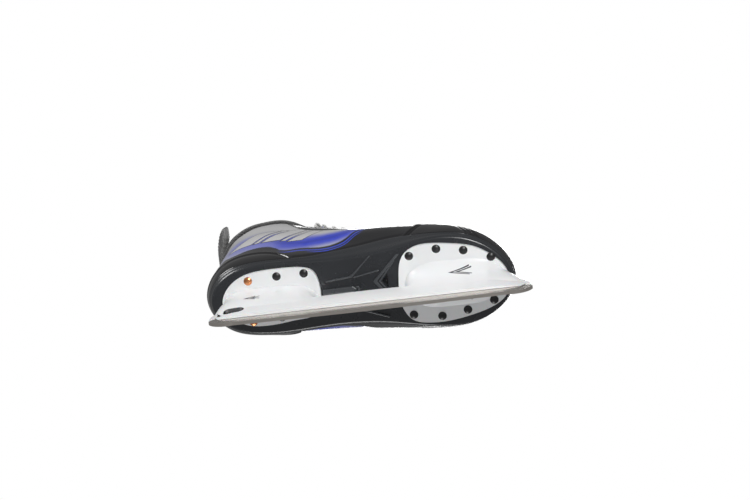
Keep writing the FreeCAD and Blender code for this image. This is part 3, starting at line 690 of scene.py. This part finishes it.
def metal_material(name, color, rough):
    s = Shader(name, color, rough, Metallic=1.0)
    dark = tuple(c * 0.6 for c in color)
    s.color(s.mix(s.noise(320, 5), dark, tuple(min(1, c * 1.15) for c in color)))
    s.rough(s.mad(s.noise(700, 4), 0.25, rough - 0.1))
    s.bump(s.noise(1200, 4), 0.00004)
    return s.material


def outsole_material(name, dark, light):
    """Dark grey satin composite with a hint of weave."""
    s = Shader(name, (0.045, 0.048, 0.053), 0.36, Coat_Weight=0.2,
               Coat_Roughness=0.25)
    place = s.place()
    weave = s.mul(s.wave(place, 420, "X"), s.wave(place, 420, "Y"))
    tone = s.mad(weave, 0.2, s.mul(s.noise(20, 2), 0.7))
    s.color(s.mix(tone, dark, light))
    s.rough(s.mad(s.noise(60, 3), 0.1, 0.22))
    s.bump(s.noise(900, 3), 0.000015)
    return s.material


def lace_material():
    """White waxed braid with blue flecks."""
    s = Shader("lace_braid", (0.85, 0.85, 0.83), 0.55, Sheen_Weight=0.3)
    place = s.place()
    braid = s.mul(s.wave(place, 700, "DIAGONAL"), s.wave(place, 640, "X"))
    fleck = s.step(s.noise(150, 2), 0.63, 0.68)
    s.color(s.mix(fleck, s.mix(braid, (0.72, 0.72, 0.7), (0.92, 0.92, 0.9)), (0.05, 0.1, 0.62)))
    s.bump(braid, 0.00025)
    return s.material


MATERIALS = {
    "counter": moulded("counter_gloss", (0.005, 0.005, 0.006), 0.14, 0.00002, 500,
                       Coat_Weight=0.6, Coat_Roughness=0.06).material,
    "toe_cap": moulded("toe_cap_black", (0.007, 0.007, 0.0085), 0.24, 0.00004, 800,
                       Coat_Weight=0.3, Coat_Roughness=0.15).material,
    "facing": moulded("facing_synthetic", (0.009, 0.009, 0.0105), 0.42, 0.00012, 420).material,
    "black": moulded("black_plastic", (0.008, 0.008, 0.009), 0.34).material,
    "binding": ribbed("binding_knit", (0.008, 0.008, 0.009), (0.042, 0.041, 0.04), 0.7, 170,
                      "Z").material,
    "stay": ribbed("stay_ribs", (0.008, 0.008, 0.009), (0.040, 0.039, 0.038), 0.6, 130,
                   "Y").material,
    "guard": ribbed("guard_ribs", (0.016, 0.016, 0.016), (0.062, 0.061, 0.058), 0.55, 120,
                    "Y").material,
    "liner": woven("liner_microfibre", (0.02, 0.02, 0.023), (0.075, 0.078, 0.085), 0.85,
                   900).material,
    "tongue": woven("tongue_skin", (0.03, 0.03, 0.034), (0.1, 0.1, 0.11), 0.7, 800).material,
    "footbed": woven("footbed_textile", (0.05, 0.06, 0.1), (0.16, 0.18, 0.24), 0.85,
                     700).material,
    "board": moulded("board_fibre", (0.07, 0.065, 0.06), 0.8, 0.0002, 300, 0.2).material,
    "outsole": outsole_material("outsole_composite", (0.017, 0.0185, 0.0215),
                                (0.034, 0.037, 0.042)),
    # The relief is a lighter copy of the outsole composite: painted sheen for the highlights on
    # its facets.
    "relief": outsole_material("outsole_relief", (0.045, 0.049, 0.054), (0.085, 0.09, 0.097)),
    "holder": holder_material(),
    "steel": steel_material(),
    "small_steel": metal_material("small_steel", (0.55, 0.55, 0.56), 0.35),
    "copper": metal_material("rivet_copper", (0.88, 0.36, 0.16), 0.3),
    "rivet": moulded("rivet_black", (0.008, 0.008, 0.009), 0.34, 0.00005, 1500, 0.2).material,
    "lace": lace_material(),
    "quarter_lateral": quarter_material("quarter_print_lateral", "quarter_lateral"),
    "quarter_medial": quarter_material("quarter_print_medial", "quarter_medial"),
}


# ------------------------------------------------------------------ outsole

WALL, FOOT_ROUND, TOP_ROUND = 1.8, 1.6, 1.3       # the outsole's wall and its edges
PLATE = 3.5                                      # height of the flat plate inside
VENT_TIP, VENT_END, VENT_HALF_SLOPE, VENT_DEPTH = 10.4, 15.8, (-5.6, 7.2), 2.6
VENT = [(10.4, -7.4), (15.6, -13.4), (15.9, 0.4)]
RELIEF_ROOT = 0.3
# The arch's raised lines: name, corners along and across the sole, depth and bevel.
RELIEF = [
    ("strip", [(-44.5, -4.2), (-16.2, -4.9), (-12.6, -2.2), (-15.5, 0.4), (-44.8, 0.6)],
     -2.4, 0.8),
    ("strip_tab", [(-14.6, -4.8), (-11.2, -5.0), (-9.6, -2.0), (-11.5, 1.6), (-14.0, 0.4),
                   (-12.0, -2.3)], -2.8, 0.5),
    ("facet_long", [(-41, -12), (-17.5, -14.6), (1.5, -31.5), (2.4, -31), (-16, -13),
                    (-41, -10.4)], -1.5, 0.6),
    ("facet_low", [(-15.5, -13.4), (8.5, -18.2), (9.0, -16.6), (-15.0, -12.0)], -1.5, 0.6),
    ("facet_medial", [(-44, 12), (-20, 13.5), (14, 26), (13, 27.5), (-21, 15.2),
                      (-44, 13.6)], -1.5, 0.6),
]


def build_outsole():
    """One closed dish: flat bottom, rounded foot, wrapped wall and a flat plate inside."""
    turns = np.linspace(0, 1, 480, endpoint=False)
    top = at_turn(OUTSOLE, turns)
    rings = []

    def ring(height, offset):
        height = np.broadcast_to(height, turns.shape)
        rings.append(skin(turns, height) + level(skin_normals(turns, height)) * offset)

    for angle in np.radians([0, 30, 60]):
        ring(FOOT_ROUND * (1 - math.cos(angle)), WALL - FOOT_ROUND * (1 - math.sin(angle)))
    for share in np.linspace(0.12, 1, 9):
        hollow = 0.25 * math.exp(-((share - 0.5) / 0.2) ** 2)
        ring(FOOT_ROUND + (top - FOOT_ROUND - TOP_ROUND) * share, WALL - hollow)
    for angle in np.radians([20, 50, 80]):
        ring(top - TOP_ROUND * (1 - math.sin(angle)), WALL - TOP_ROUND * (1 - math.cos(angle)))
    ring(top, 0.1)
    ring(PLATE, 0.1)
    points = to_world(np.array(rings).reshape(-1, 3))
    outsole = new_object("outsole_shell", points, capped_faces(len(rings), len(turns)))
    sharpen(outsole, 35)
    cut_vent(outsole)
    finish_piece(outsole, MATERIALS["outsole"], replaces=["outsole"])
    build_sole_relief()


def cut_vent(outsole):
    hole = prism("vent_cutter", VENT, -3, VENT_DEPTH)
    mod = outsole.modifiers.new("vent", "BOOLEAN")
    mod.object, mod.operation, mod.solver = hole, "DIFFERENCE", "EXACT"
    apply_modifiers(outsole)
    bpy.data.objects.remove(hole)


def chevron(tip, arm_a, arm_b, width):
    """A V-shaped strip: the tip and its two arm ends, with a width towards +X."""
    tip, a, b = (np.array(p, float) for p in (tip, arm_a, arm_b))
    shift = np.array([width, 0.0])
    return [tuple(p) for p in (a, tip, b, b + shift, tip + shift * 1.25, a + shift)]


def build_sole_relief():
    """The moulded relief of the arch: chevrons, facets, a raised strip and a vent grille."""
    wide = chevron((2.0, -7.4), (25.5, -30.5), (12.5, 6.5), 3.4)
    thin = chevron((7.2, -7.2), (22.5, -25.0), (14.6, 3.0), 1.7)
    lines = [("chevron_outer", wide, -2.0, 0.7), ("chevron_inner", thin, -2.2, 0.35)] + RELIEF
    relief = join("outsole_relief", [prism(name, corners, depth, RELIEF_ROOT, bevel)
                                     for name, corners, depth, bevel in lines])
    # The relief wears a lighter copy of the outsole material: painted sheen for its highlights.
    finish_piece(relief, MATERIALS["relief"])
    bars = []
    for k in range(4):
        x = 11.6 + 1.25 * k
        share = (x - VENT_TIP) / (VENT_END - VENT_TIP)
        low, high = (-7.2 + slope * share for slope in VENT_HALF_SLOPE)
        low += 0.55 * share
        bars.append(prism("bar", [(x, low), (x + 0.45, low), (x + 0.45, high), (x, high)],
                          0.7, VENT_DEPTH - 0.2))
    grille = join("vent_grille", bars)
    finish_piece(grille, MATERIALS["black"])


# ------------------------------------------------------------------ boot panels

ANKLE_X, ANKLE_Z = -102, 74            # the swell over the ankle bone
CUSHION_X, CUSHION_Z = -103, 78        # the lining's cushion inside it
QUILT = 17                             # spacing of the lining's quilting


def build_quarters():
    """The two stiff side shells, from under the outsole's wall up to the collar."""
    for name, start, end in (("quarter_lateral", 0.012, 0.5), ("quarter_medial", 0.5, 0.988)):
        turns = np.linspace(start, end, 260)
        low = np.maximum(at_turn(OUTSOLE, turns) - 3.0, at_turn(TOE_EDGE, turns) - 2.0)
        high = at_turn(COLLAR, turns) - 0.5
        keep = high - low > 1.5
        turns, low, high = turns[keep], low[keep], high[keep]
        shell = panel(name + "_shell", turns, low, high, 90, 0.0, -2.5, 1.0, quarter_relief)
        finish_piece(shell, MATERIALS[name], replaces=[name])


def quarter_relief(base, up, down):
    """Soft moulded swells over the ankle bones and a crease above the outsole."""
    x, z = base[..., 0], base[..., 2]
    ankle = 1.6 * np.exp(-((x - ANKLE_X) / 22) ** 2 - ((z - ANKLE_Z) / 19) ** 2)
    crease = -0.7 * np.exp(-((z - line_height(OUTSOLE_LINE, x) - 4) / 1.6) ** 2) * (x > -70)
    return ankle + crease


def build_counter():
    """The glossy heel moulding, with a raised lip along its top edge."""
    table = COUNTER - OUTSOLE
    lateral = [t for t, gap in zip(PROBE_TURNS, table) if gap > 2.0 and t < 0.5]
    medial = [t for t, gap in zip(PROBE_TURNS, table) if gap > 2.0 and t > 0.5]
    turns = np.linspace(min(medial) - 1.0, max(lateral), 260)
    low, high = at_turn(OUTSOLE, turns) - 1.0, at_turn(COUNTER, turns)

    def relief(base, up, down):
        return 0.7 * np.exp(-((down - 2.6) / 1.1) ** 2) - 0.3 * np.exp(-((down - 6) / 1.5) ** 2)

    counter = panel("heel_counter_cap", turns, low, high, 26, 1.7, 0.0, 1.6, relief)
    finish_piece(counter, MATERIALS["counter"], replaces=["heel_counter"])


def build_back_stay():
    """The ribbed strip up the heel."""
    turns = np.linspace(-0.031, 0.031, 90)
    low, high = at_turn(COUNTER, turns) - 3.0, at_turn(COLLAR, turns) - 2.0

    def relief(base, up, down):
        return 0.4 * np.cos(base[..., 1] * 2 * math.pi / 2.6)

    stay = panel("back_stay_strip", turns, low, high, 60, 1.2, -2.5, 1.4, relief)
    finish_piece(stay, MATERIALS["stay"], replaces=["back_stay"])


def groove(value, centre, width, depth):
    return -depth * np.exp(-((value - centre) / width) ** 2)


REAR_SLOPE = (TOE_TOP[0] - TOE_FOOT[0]) / (TOE_TOP[1] - TOE_FOOT[1])
REAR_GROOVES, FAN_GROOVES = (4.5, 8.4), (-4.2, 0, 4.2)
FAN_X, FLANK_TOP = 92, 44


def build_toe_cap():
    """The moulded toe, with two groups of grooves on each flank."""
    inside = np.nonzero(TOE_EDGE > OUTSOLE + 0.5)[0]
    turns = np.linspace(PROBE_TURNS[inside[0]], PROBE_TURNS[inside[-1]], 420)
    low, high = at_turn(OUTSOLE, turns) - 1.0, at_turn(TOE_EDGE, turns)

    def relief(base, up, down):
        x, z = base[..., 0], base[..., 2]
        rear = x - TOE_FOOT[0] - (z - TOE_FOOT[1]) * REAR_SLOPE
        flank = np.exp(-(np.maximum(z - FLANK_TOP, 0) / 5) ** 2)
        cut = sum(groove(rear, at, 1.0, 1.5) for at in REAR_GROOVES)
        front = x - FAN_X + (z - 12) * 0.55
        fan = sum(groove(front, at, 0.9, 1.4) for at in FAN_GROOVES)
        panel_edge = 0.5 / (1 + np.exp(-(rear - 10) / 1.0)) / (1 + np.exp((front + 7) / 1.0))
        return cut + fan * flank + panel_edge * flank

    cap = panel("toe_cap_shell", turns, low, high, 130, 1.5, -2.4, 1.3, relief)
    finish_piece(cap, MATERIALS["toe_cap"], replaces=["toe_cap"])


def throat_turns(side, count):
    """Columns that reach the eyestay, from the collar's peak down to the throat's end."""
    hit = skin(PROBE_TURNS, COLLAR)
    mask = (hit[:, 0] > -88) & (hit[:, 0] < 62) & (np.sign(hit[:, 1]) == side)
    turns = PROBE_TURNS[mask]
    return np.linspace(turns.min(), turns.max(), count)


def build_facings():
    """Eyestay strips with a line of stitches along their lower edge."""
    for side, name in ((-1, "facing_lateral"), (1, "facing_medial")):
        turns = throat_turns(side, 160)
        high = at_turn(COLLAR, turns)
        low = np.maximum(at_turn(height_on(COLLAR_LINE, -15), turns), at_turn(TOE_EDGE, turns))
        keep = high - low > 1.0

        def relief(base, up, down):
            return groove(up, 2.4, 0.5, 0.35)

        strip = panel(name + "_strip", turns[keep], low[keep], high[keep], 26, 1.1, -0.2, 0.9,
                      relief)
        finish_piece(strip, MATERIALS["facing"], replaces=[name])


def build_binding():
    """The rolled edge of the collar, over the quarters and the lining."""
    hit = skin(PROBE_TURNS, COLLAR)
    rear = PROBE_TURNS[(hit[:, 0] < -60)]
    lateral, medial = rear[rear < 0.5].max(), rear[rear > 0.5].min()
    turns = np.linspace(medial - 1.0, lateral, 260)
    top = at_turn(COLLAR, turns)
    base, normal = skin(turns, top), level(skin_normals(turns, top))
    rings = []
    for angle in np.linspace(0, 2 * np.pi, 20, endpoint=False):
        cos, sin = math.cos(angle), math.sin(angle)
        # The roll reaches 4 mm up and 7.4 mm down from its middle.
        ring = base + normal * (-2.9 + 5.5 * np.sign(cos) * abs(cos) ** 0.8)
        ring[:, 2] += -1.6 + (4.0 if sin >= 0 else 7.4) * sin
        rings.append(ring)
    grid = np.array(rings).transpose(1, 0, 2)
    faces = capped_faces(len(turns), len(rings))
    roll = new_object("collar_roll", to_world(grid.reshape(-1, 3)), faces)
    finish_piece(roll, MATERIALS["binding"], replaces=["collar_binding"])


def build_liner():
    """Padded lining with ankle cushions, one form from toe to collar."""
    for name, start, end in (("liner_lateral", 0.0, 0.5), ("liner_medial", 0.5, 1.0)):
        turns = np.linspace(start, end, 200)
        low = np.full_like(turns, 6.2)
        toe, high = at_turn(TOE_EDGE, turns), at_turn(COLLAR, turns) - 0.5
        high = np.where(toe > 20, np.minimum(high, toe + 30), high)
        share = edge_spaced(70, 0.5)[:, None]
        height = low + (high - low) * share
        base, normal = skin(turns[None, :], height), skin_normals(turns[None, :], height)
        x, z = base[..., 0], base[..., 2]
        cushion = 2.6 * np.exp(-((x - CUSHION_X) / 24) ** 2 - ((z - CUSHION_Z) / 22) ** 2)
        wave = math.pi / QUILT
        quilt = 0.5 * np.abs(np.sin((x + z) * wave) * np.sin((x - z) * wave))
        pad = -6.4 - cushion - quilt * (z > 40)
        outer = to_world(base - normal * 2.7)
        inner = to_world(base + normal * pad[..., None])
        liner = shell_mesh(name + "_pad", outer, inner)
        replaced = [name, "ankle_pad_lateral" if "lateral" in name else "ankle_pad_medial"]
        finish_piece(liner, MATERIALS["liner"], replaces=replaced)


# ------------------------------------------------------------------ tongue and guard

TONGUE_FOOT, TONGUE_FREE = 54, 158        # heights where it starts, and leaves the throat
TONGUE_DEPTH, TONGUE_HALF_THICKNESS = 6.3, 2.9
TOP_LEAN = np.array([-10.0, 0.0, 33.0])   # the free top's reach back and up


def build_tongue():
    """One felt tongue: under the facings, then free above them. It bends at its fold."""
    columns = 41
    outer, inner = [], []
    for h in TONGUE_FOOT + (TONGUE_FREE - TONGUE_FOOT) * np.linspace(0, 1, 130):
        half = 27.0 - 6.0 * (1 - min(1, (h - TONGUE_FOOT) / 30))
        around = np.linspace(TOE_TURN - 0.12, TOE_TURN + 0.12, 241)
        ring = skin(around, h)
        pick = np.linspace(-half, half, columns)
        turns = np.interp(pick, ring[:, 1], around)
        base, normal = skin(turns, h), skin_normals(turns, h)
        edge = rounded(half - np.abs(pick), 5.0)
        centre = base - normal * TONGUE_DEPTH
        body = TONGUE_HALF_THICKNESS * edge[:, None]
        wave = 0.35 * np.cos(pick * 2 * math.pi / 11)[:, None]
        outer.append(centre + normal * (body + wave * edge[:, None]))
        inner.append(centre - normal * body)
    lower_outer, lower_inner = np.array(outer), np.array(inner)
    rise = np.sin(np.linspace(0.02, 1, 44) * math.pi / 2)[:, None, None]
    flare = np.array([0.0, 0.12, 0.0])

    def carry_on(grid):
        edge = grid[-1][None]
        bend = np.array([-3.0, 0.0, 0.0]) * np.sin(rise * math.pi)
        return edge + TOP_LEAN * rise + bend + edge * flare * rise

    top_outer, top_inner = carry_on(lower_outer), carry_on(lower_inner)
    corner = np.linspace(-1, 1, columns)[None, :]
    drop = 13.0 * np.abs(corner) ** 3 * rise[..., 0] ** 2
    for grid in (top_outer, top_inner):
        spine = grid[:, columns // 2, 0][:, None]
        grid[..., 0] = spine + (grid[..., 0] - spine) * (1 - 0.55 * rise[..., 0])
        grid[..., 2] -= drop
    thin = rounded((1 - rise) * 36, 2.6)
    middle = (top_outer + top_inner) / 2
    outer = np.concatenate([lower_outer, middle + (top_outer - middle) * thin])
    inner = np.concatenate([lower_inner, middle + (top_inner - middle) * thin])
    tongue = shell_mesh("tongue_felt_pad", to_world(outer), to_world(inner))
    finish_piece(tongue, MATERIALS["tongue"], body=None, replaces=["tongue", "tongue_top"])
    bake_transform(tongue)


GUARD_FOOT_X, GUARD_FOOT_Z, GUARD_HEIGHT = -154.0, 116.0, 92.0
GUARD_LEAN = math.radians(12)
GUARD_BOW, GUARD_HALF_THICKNESS = 58.0, 2.9       # the bow is the radius it wraps round
GUARD_SHOULDER = 0.86                             # share of the height where its corners start


def build_guard():
    """The tendon guard: ribbed, with a smooth rim, growing out of the collar."""
    columns = 61
    tilt = np.array([-math.cos(GUARD_LEAN), 0.0, -math.sin(GUARD_LEAN)])
    outer, inner = [], []
    for share in np.linspace(0, 1, 110):
        z = GUARD_HEIGHT * share
        half = 17.0 + 14.5 * math.sin(min(1.0, share / 0.42) * math.pi / 2)
        if share > GUARD_SHOULDER:
            corner = (share - GUARD_SHOULDER) / (1 - GUARD_SHOULDER)
            half -= 13.0 * (1 - math.sqrt(max(0.0, 1 - corner ** 2)))
        y = np.linspace(-half, half, columns)
        back = GUARD_BOW - np.sqrt(GUARD_BOW ** 2 - y ** 2)
        edge = rounded(np.minimum(half - np.abs(y), (1 - share) * GUARD_HEIGHT), 2.6)
        rib = 0.42 * np.cos(y * 2 * math.pi / 3.3) * (np.abs(y) < half - 4) * (share > 0.12)
        x = GUARD_FOOT_X + back - math.sin(GUARD_LEAN) * z - 3.0 * min(1.0, z / 12)
        height = GUARD_FOOT_Z + z * math.cos(GUARD_LEAN)
        middle = np.stack([x, y, np.full(columns, height)], -1)
        thick = GUARD_HALF_THICKNESS * edge
        outer.append(middle + tilt * (thick + rib)[:, None])
        inner.append(middle - tilt * thick[:, None])
    guard = shell_mesh("tendon_guard_flap", to_world(np.array(outer)), to_world(np.array(inner)))
    finish_piece(guard, MATERIALS["guard"], body=None, replaces=["tendon_guard"])
    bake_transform(guard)


# ------------------------------------------------------------------ eyelets and lace

EYELETS = 12
EYELET_REACH, EYELET_SPREAD = 26.0, 4.0   # half the throat's width at the toe, and its growth
EYELET_PROFILE = [(2.0, -0.6), (2.0, 0.9), (2.3, 1.7), (2.9, 2.05), (3.5, 1.8), (3.9, 1.2),
                  (3.9, 0.9), (2.5, 0.8), (2.5, -0.6)]
AGLET_PROFILE = [(0.2, 18.2), (1.1, 18.0), (1.35, 17.0), (1.35, 1.0), (1.5, 0.4), (1.5, -1.0),
                 (0.2, -1.2)]
INSIDE_DEPTH, OUTSIDE_LIFT, LOOP_SLACK = 9.2, 2.9, 7.0


def eyestay_marks():
    """Evenly spaced places along the eyestay, from the toe end up, in side view."""
    points = np.array(list(reversed(COLLAR_LINE[6:])), float)
    dense = smooth_path(points, 400)
    steps = distances(dense)
    return resampled(dense, steps, np.linspace(0, steps[-1], EYELETS + 2)[1:-1])


def skin_hit(mark, y):
    """The skin point that a 45 degree line through a mark meets, at a given y."""
    turns = np.linspace(0.5 * TOE_TURN, 0.5 + 0.5 * TOE_TURN, 121)
    sign = 1 if y >= 0 else -1
    half = (turns - TOE_TURN) * sign > 0
    best = None
    for x, h in mark + np.linspace(-30, 45, 51)[:, None]:
        ring = skin(turns, h)
        if abs(y) < 1:
            front, turn = ring[:, 0].max(), TOE_TURN
        else:
            ys, xs, ts = ring[half, 1] * sign, ring[half, 0], turns[half]
            sort = np.argsort(ys)
            front = np.interp(abs(y), ys[sort], xs[sort])
            turn = np.interp(abs(y), ys[sort], ts[sort])
        if best is None or x <= front:
            best = (turn, h)
    turn, h = best
    turn, h = np.array([turn]), np.array([h])
    return skin(turn, h)[0], skin_normals(turn, h)[0]


MARKS = eyestay_marks()
EYELET_ROWS = {side: [skin_hit(mark, side * (EYELET_REACH + EYELET_SPREAD * k / (EYELETS - 1)))
                      for k, mark in enumerate(MARKS)] for side in (-1, 1)}


def build_eyelets():
    """Rolled metal rings, each with a rounded rim and a dark bore."""
    for side, node in ((-1, "eyelets_lateral"), (1, "eyelets_medial")):
        group = join(node + "_rings", [lathe("ring", EYELET_PROFILE, point, normal, 24)
                                       for point, normal in EYELET_ROWS[side]])
        finish_piece(group, MATERIALS["black"], replaces=[node])


def lathe(name, profile, centre, axis, sides):
    """A turned ring about an axis, its profile given as (radius, height)."""
    axis = Vector(axis).normalized()
    first = axis.orthogonal().normalized()
    second = axis.cross(first)
    verts = []
    for radius, height in profile:
        for k in range(sides):
            a = 2 * math.pi * k / sides
            out = first * math.cos(a) + second * math.sin(a)
            verts.append(Vector(centre) + out * radius + axis * height)
    rows = len(profile)
    faces = grid_faces(rows, sides, closed=True)
    last = (rows - 1) * sides
    faces += [(last + k, last + (k + 1) % sides, (k + 1) % sides, k) for k in range(sides)]
    return new_object(name, to_world([tuple(v) for v in verts]), faces)


def lace_route():
    """The lace in order: a bar at the toe, then both ends crossing between pairs of rows."""
    def outside(side, row):
        point, normal = EYELET_ROWS[side][row]
        slack = np.array([0.0, LOOP_SLACK * side * min(1.0, row / 4), 0.0])
        return point + normal * OUTSIDE_LIFT + slack, normal

    def inside(side, row):
        point, normal = EYELET_ROWS[side][row]
        return point - normal * INSIDE_DEPTH, normal

    def over(side, row, share, lift):
        mark = MARKS[row] + (MARKS[row + 1] - MARKS[row]) * share
        point, normal = skin_hit(mark, side * 27.0 * (1 - 2 * share))
        return point + normal * lift, normal

    def one_end(side):
        route = []
        for row in range(1, EYELETS - 1, 2):
            lift = 1.6 if side < 0 else 3.4
            route += [inside(side, row - 1), inside(side, row), outside(side, row)]
            route += [over(side, row, share, lift) for share in (0.2, 0.4, 0.6, 0.8)]
            side = -side
            route.append(outside(side, row + 1))
        low, normal = inside(side, EYELETS - 2)
        slack = unit(np.array([MARKS[-2][0] - MARKS[-4][0], 0, MARKS[-2][1] - MARKS[-4][1]]))
        for length, in_x, in_y in ((0, 0, 0), (16, -3, 1.5), (30, -7, 3.5)):
            route.append((low - slack * length + np.array([in_x, -side * in_y, 0]), normal))
        return route

    bar = [outside(-1, 0)]
    for y in (-15, -7, 0, 7, 15):
        point, normal = skin_hit(MARKS[0], y)
        bar.append((point + normal * 1.8, normal))
    bar.append(outside(1, 0))
    return list(reversed(one_end(-1))) + bar + one_end(1)


def build_lace():
    """A flat waxed braid along the whole route, with a film tip at each end."""
    route = lace_route()
    points, normals = (np.array(part) for part in zip(*route))
    steps = distances(points)
    fine = np.linspace(0, steps[-1], 1500)
    path, ups = resampled(points, steps, fine), resampled(normals, steps, fine)
    kernel = np.hanning(9)
    kernel /= kernel.sum()
    soft = np.column_stack([np.convolve(np.pad(path[:, k], 4, "edge"), kernel, "valid")
                            for k in range(3)])
    heading = np.abs(np.sum(np.gradient(soft, axis=0) * ups, axis=1))
    speed = np.linalg.norm(np.gradient(soft, axis=0), axis=1)
    in_hole = np.clip(heading / np.maximum(speed, 1e-9), 0, 1)
    width = 3.1 - 1.4 * in_hole
    band = tube("lace_band", to_world(soft), ups, width * MM, (0.75 + 0.5 * in_hole) * MM, 14)
    finish_piece(band, MATERIALS["lace"], replaces=["lace"])
    ends = (points[0], points[1]), (points[-1], points[-2])
    group = join("aglet_tips", [lathe("tip", AGLET_PROFILE, tip, unit(tip - before), 16)
                                for tip, before in ends])
    finish_piece(group, MATERIALS["black"], replaces=["aglets"])


# ------------------------------------------------------------------ carried-over CAD nodes

def dress_cad_nodes():
    looks = {
        "holder": "holder", "runner": "steel", "lock_lever": "black", "lever_pin": "small_steel",
        "lever_spring": "small_steel", "front_rivets_lateral": "rivet",
        "front_rivets_medial": "rivet", "heel_rivets": "rivet", "copper_rivets": "copper",
        "rivet_washers": "small_steel", "insole_board": "board", "footbed": "footbed",
    }
    for node, look in looks.items():
        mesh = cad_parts[node].data
        mesh.materials.clear()
        mesh.materials.append(MATERIALS[look])


# ------------------------------------------------------------------ stage, lights and camera

def build_stage():
    """A pale floor that is only there when it is looked at from above."""
    bpy.ops.mesh.primitive_plane_add(size=6, location=(0, 0, -0.0006))
    floor = bpy.context.object
    floor.name = "studio_floor"
    s = Shader("floor_pale", (0.86, 0.86, 0.86), 0.9, Specular_IOR_Level=0.05,
               Emission_Color=(1, 1, 1, 1), Emission_Strength=0.38)
    s.color(s.mix(s.noise(3, 3), (0.84, 0.84, 0.84), (0.88, 0.88, 0.88)))
    facing = s.node("ShaderNodeNewGeometry").outputs["Backfacing"]
    clear = s.node("ShaderNodeBsdfTransparent")
    choose = s.node("ShaderNodeMixShader")
    s.link(facing, choose.inputs[0])
    s.link(s.bsdf.outputs[0], choose.inputs[1])
    s.link(clear.outputs[0], choose.inputs[2])
    s.link(choose.outputs[0], s.tree.nodes["Material Output"].inputs["Surface"])
    floor.data.materials.append(s.material)
    floor.visible_shadow = False
    floor.visible_diffuse = floor.visible_glossy = False


def area_light(name, location, target, size, power):
    data = bpy.data.lights.new(name, "AREA")
    data.shape, data.size, data.energy = "DISK", size, power
    lamp = bpy.data.objects.new(name, data)
    bpy.context.scene.collection.objects.link(lamp)
    lamp.location = location
    aim = Vector(target) - Vector(location)
    lamp.rotation_euler = aim.to_track_quat("-Z", "Y").to_euler()


def build_lights():
    world = bpy.context.scene.world or bpy.data.worlds.new("studio")
    bpy.context.scene.world = world
    world.use_nodes = True
    tree = world.node_tree
    back = tree.nodes["Background"]
    back.inputs["Color"].default_value = (1, 1, 1, 1)
    # The backdrop is white, and lights the skate less strongly than it shows.
    ray = tree.nodes.new("ShaderNodeLightPath")
    level = tree.nodes.new("ShaderNodeMapRange")
    level.inputs["To Min"].default_value = 0.24
    level.inputs["To Max"].default_value = 1.0
    tree.links.new(ray.outputs["Is Camera Ray"], level.inputs["Value"])
    tree.links.new(level.outputs[0], back.inputs["Strength"])
    bpy.context.scene.view_settings.view_transform = "Standard"
    area_light("key_low", (0.35, -0.75, -1.0), (0, 0, 0.08), 0.4, 12.5)
    area_light("inner_low", (-0.3, 1.15, -0.3), (0, 0, 0.08), 0.5, 5)
    area_light("fill_side", (-0.9, -0.8, 0.25), (0, 0, 0.12), 0.5, 6)
    area_light("top_soft", (0.2, 0.3, 1.3), (0, 0, 0.1), 0.9, 13)


AZIMUTH, ELEVATION, ROLL = 13.76, -77.05, 6.89
DISTANCE = 1.6016
TARGET = Vector((0.0073, -0.0356, 0.070))
LENS = 85.8


def build_camera():
    """Below the skate on its outer side, looking up at the runner and the outsole."""
    az, el, roll = (math.radians(v) for v in (AZIMUTH, ELEVATION, ROLL))
    away = Vector((math.sin(az) * math.cos(el), -math.cos(az) * math.cos(el), math.sin(el)))
    right = (-away).cross(Vector((0, 0, 1))).normalized()
    up = right.cross(-away)
    turned_right = right * math.cos(roll) + up * math.sin(roll)
    turned_up = up * math.cos(roll) - right * math.sin(roll)
    data = bpy.data.cameras.new("camera")
    data.sensor_width, data.lens = 36, LENS
    data.clip_start = 0.01
    camera = bpy.data.objects.new("camera", data)
    bpy.context.scene.collection.objects.link(camera)
    turn = Matrix((turned_right, turned_up, away)).transposed().to_4x4()
    camera.matrix_world = Matrix.Translation(TARGET + away * DISTANCE) @ turn
    bpy.context.scene.camera = camera


build_camera()
build_outsole()
build_quarters()
build_counter()
build_back_stay()
build_toe_cap()
build_facings()
build_binding()
build_liner()
build_tongue()
build_guard()
build_eyelets()
build_lace()
dress_cad_nodes()
build_stage()
build_lights()

bpy.context.view_layer.update()
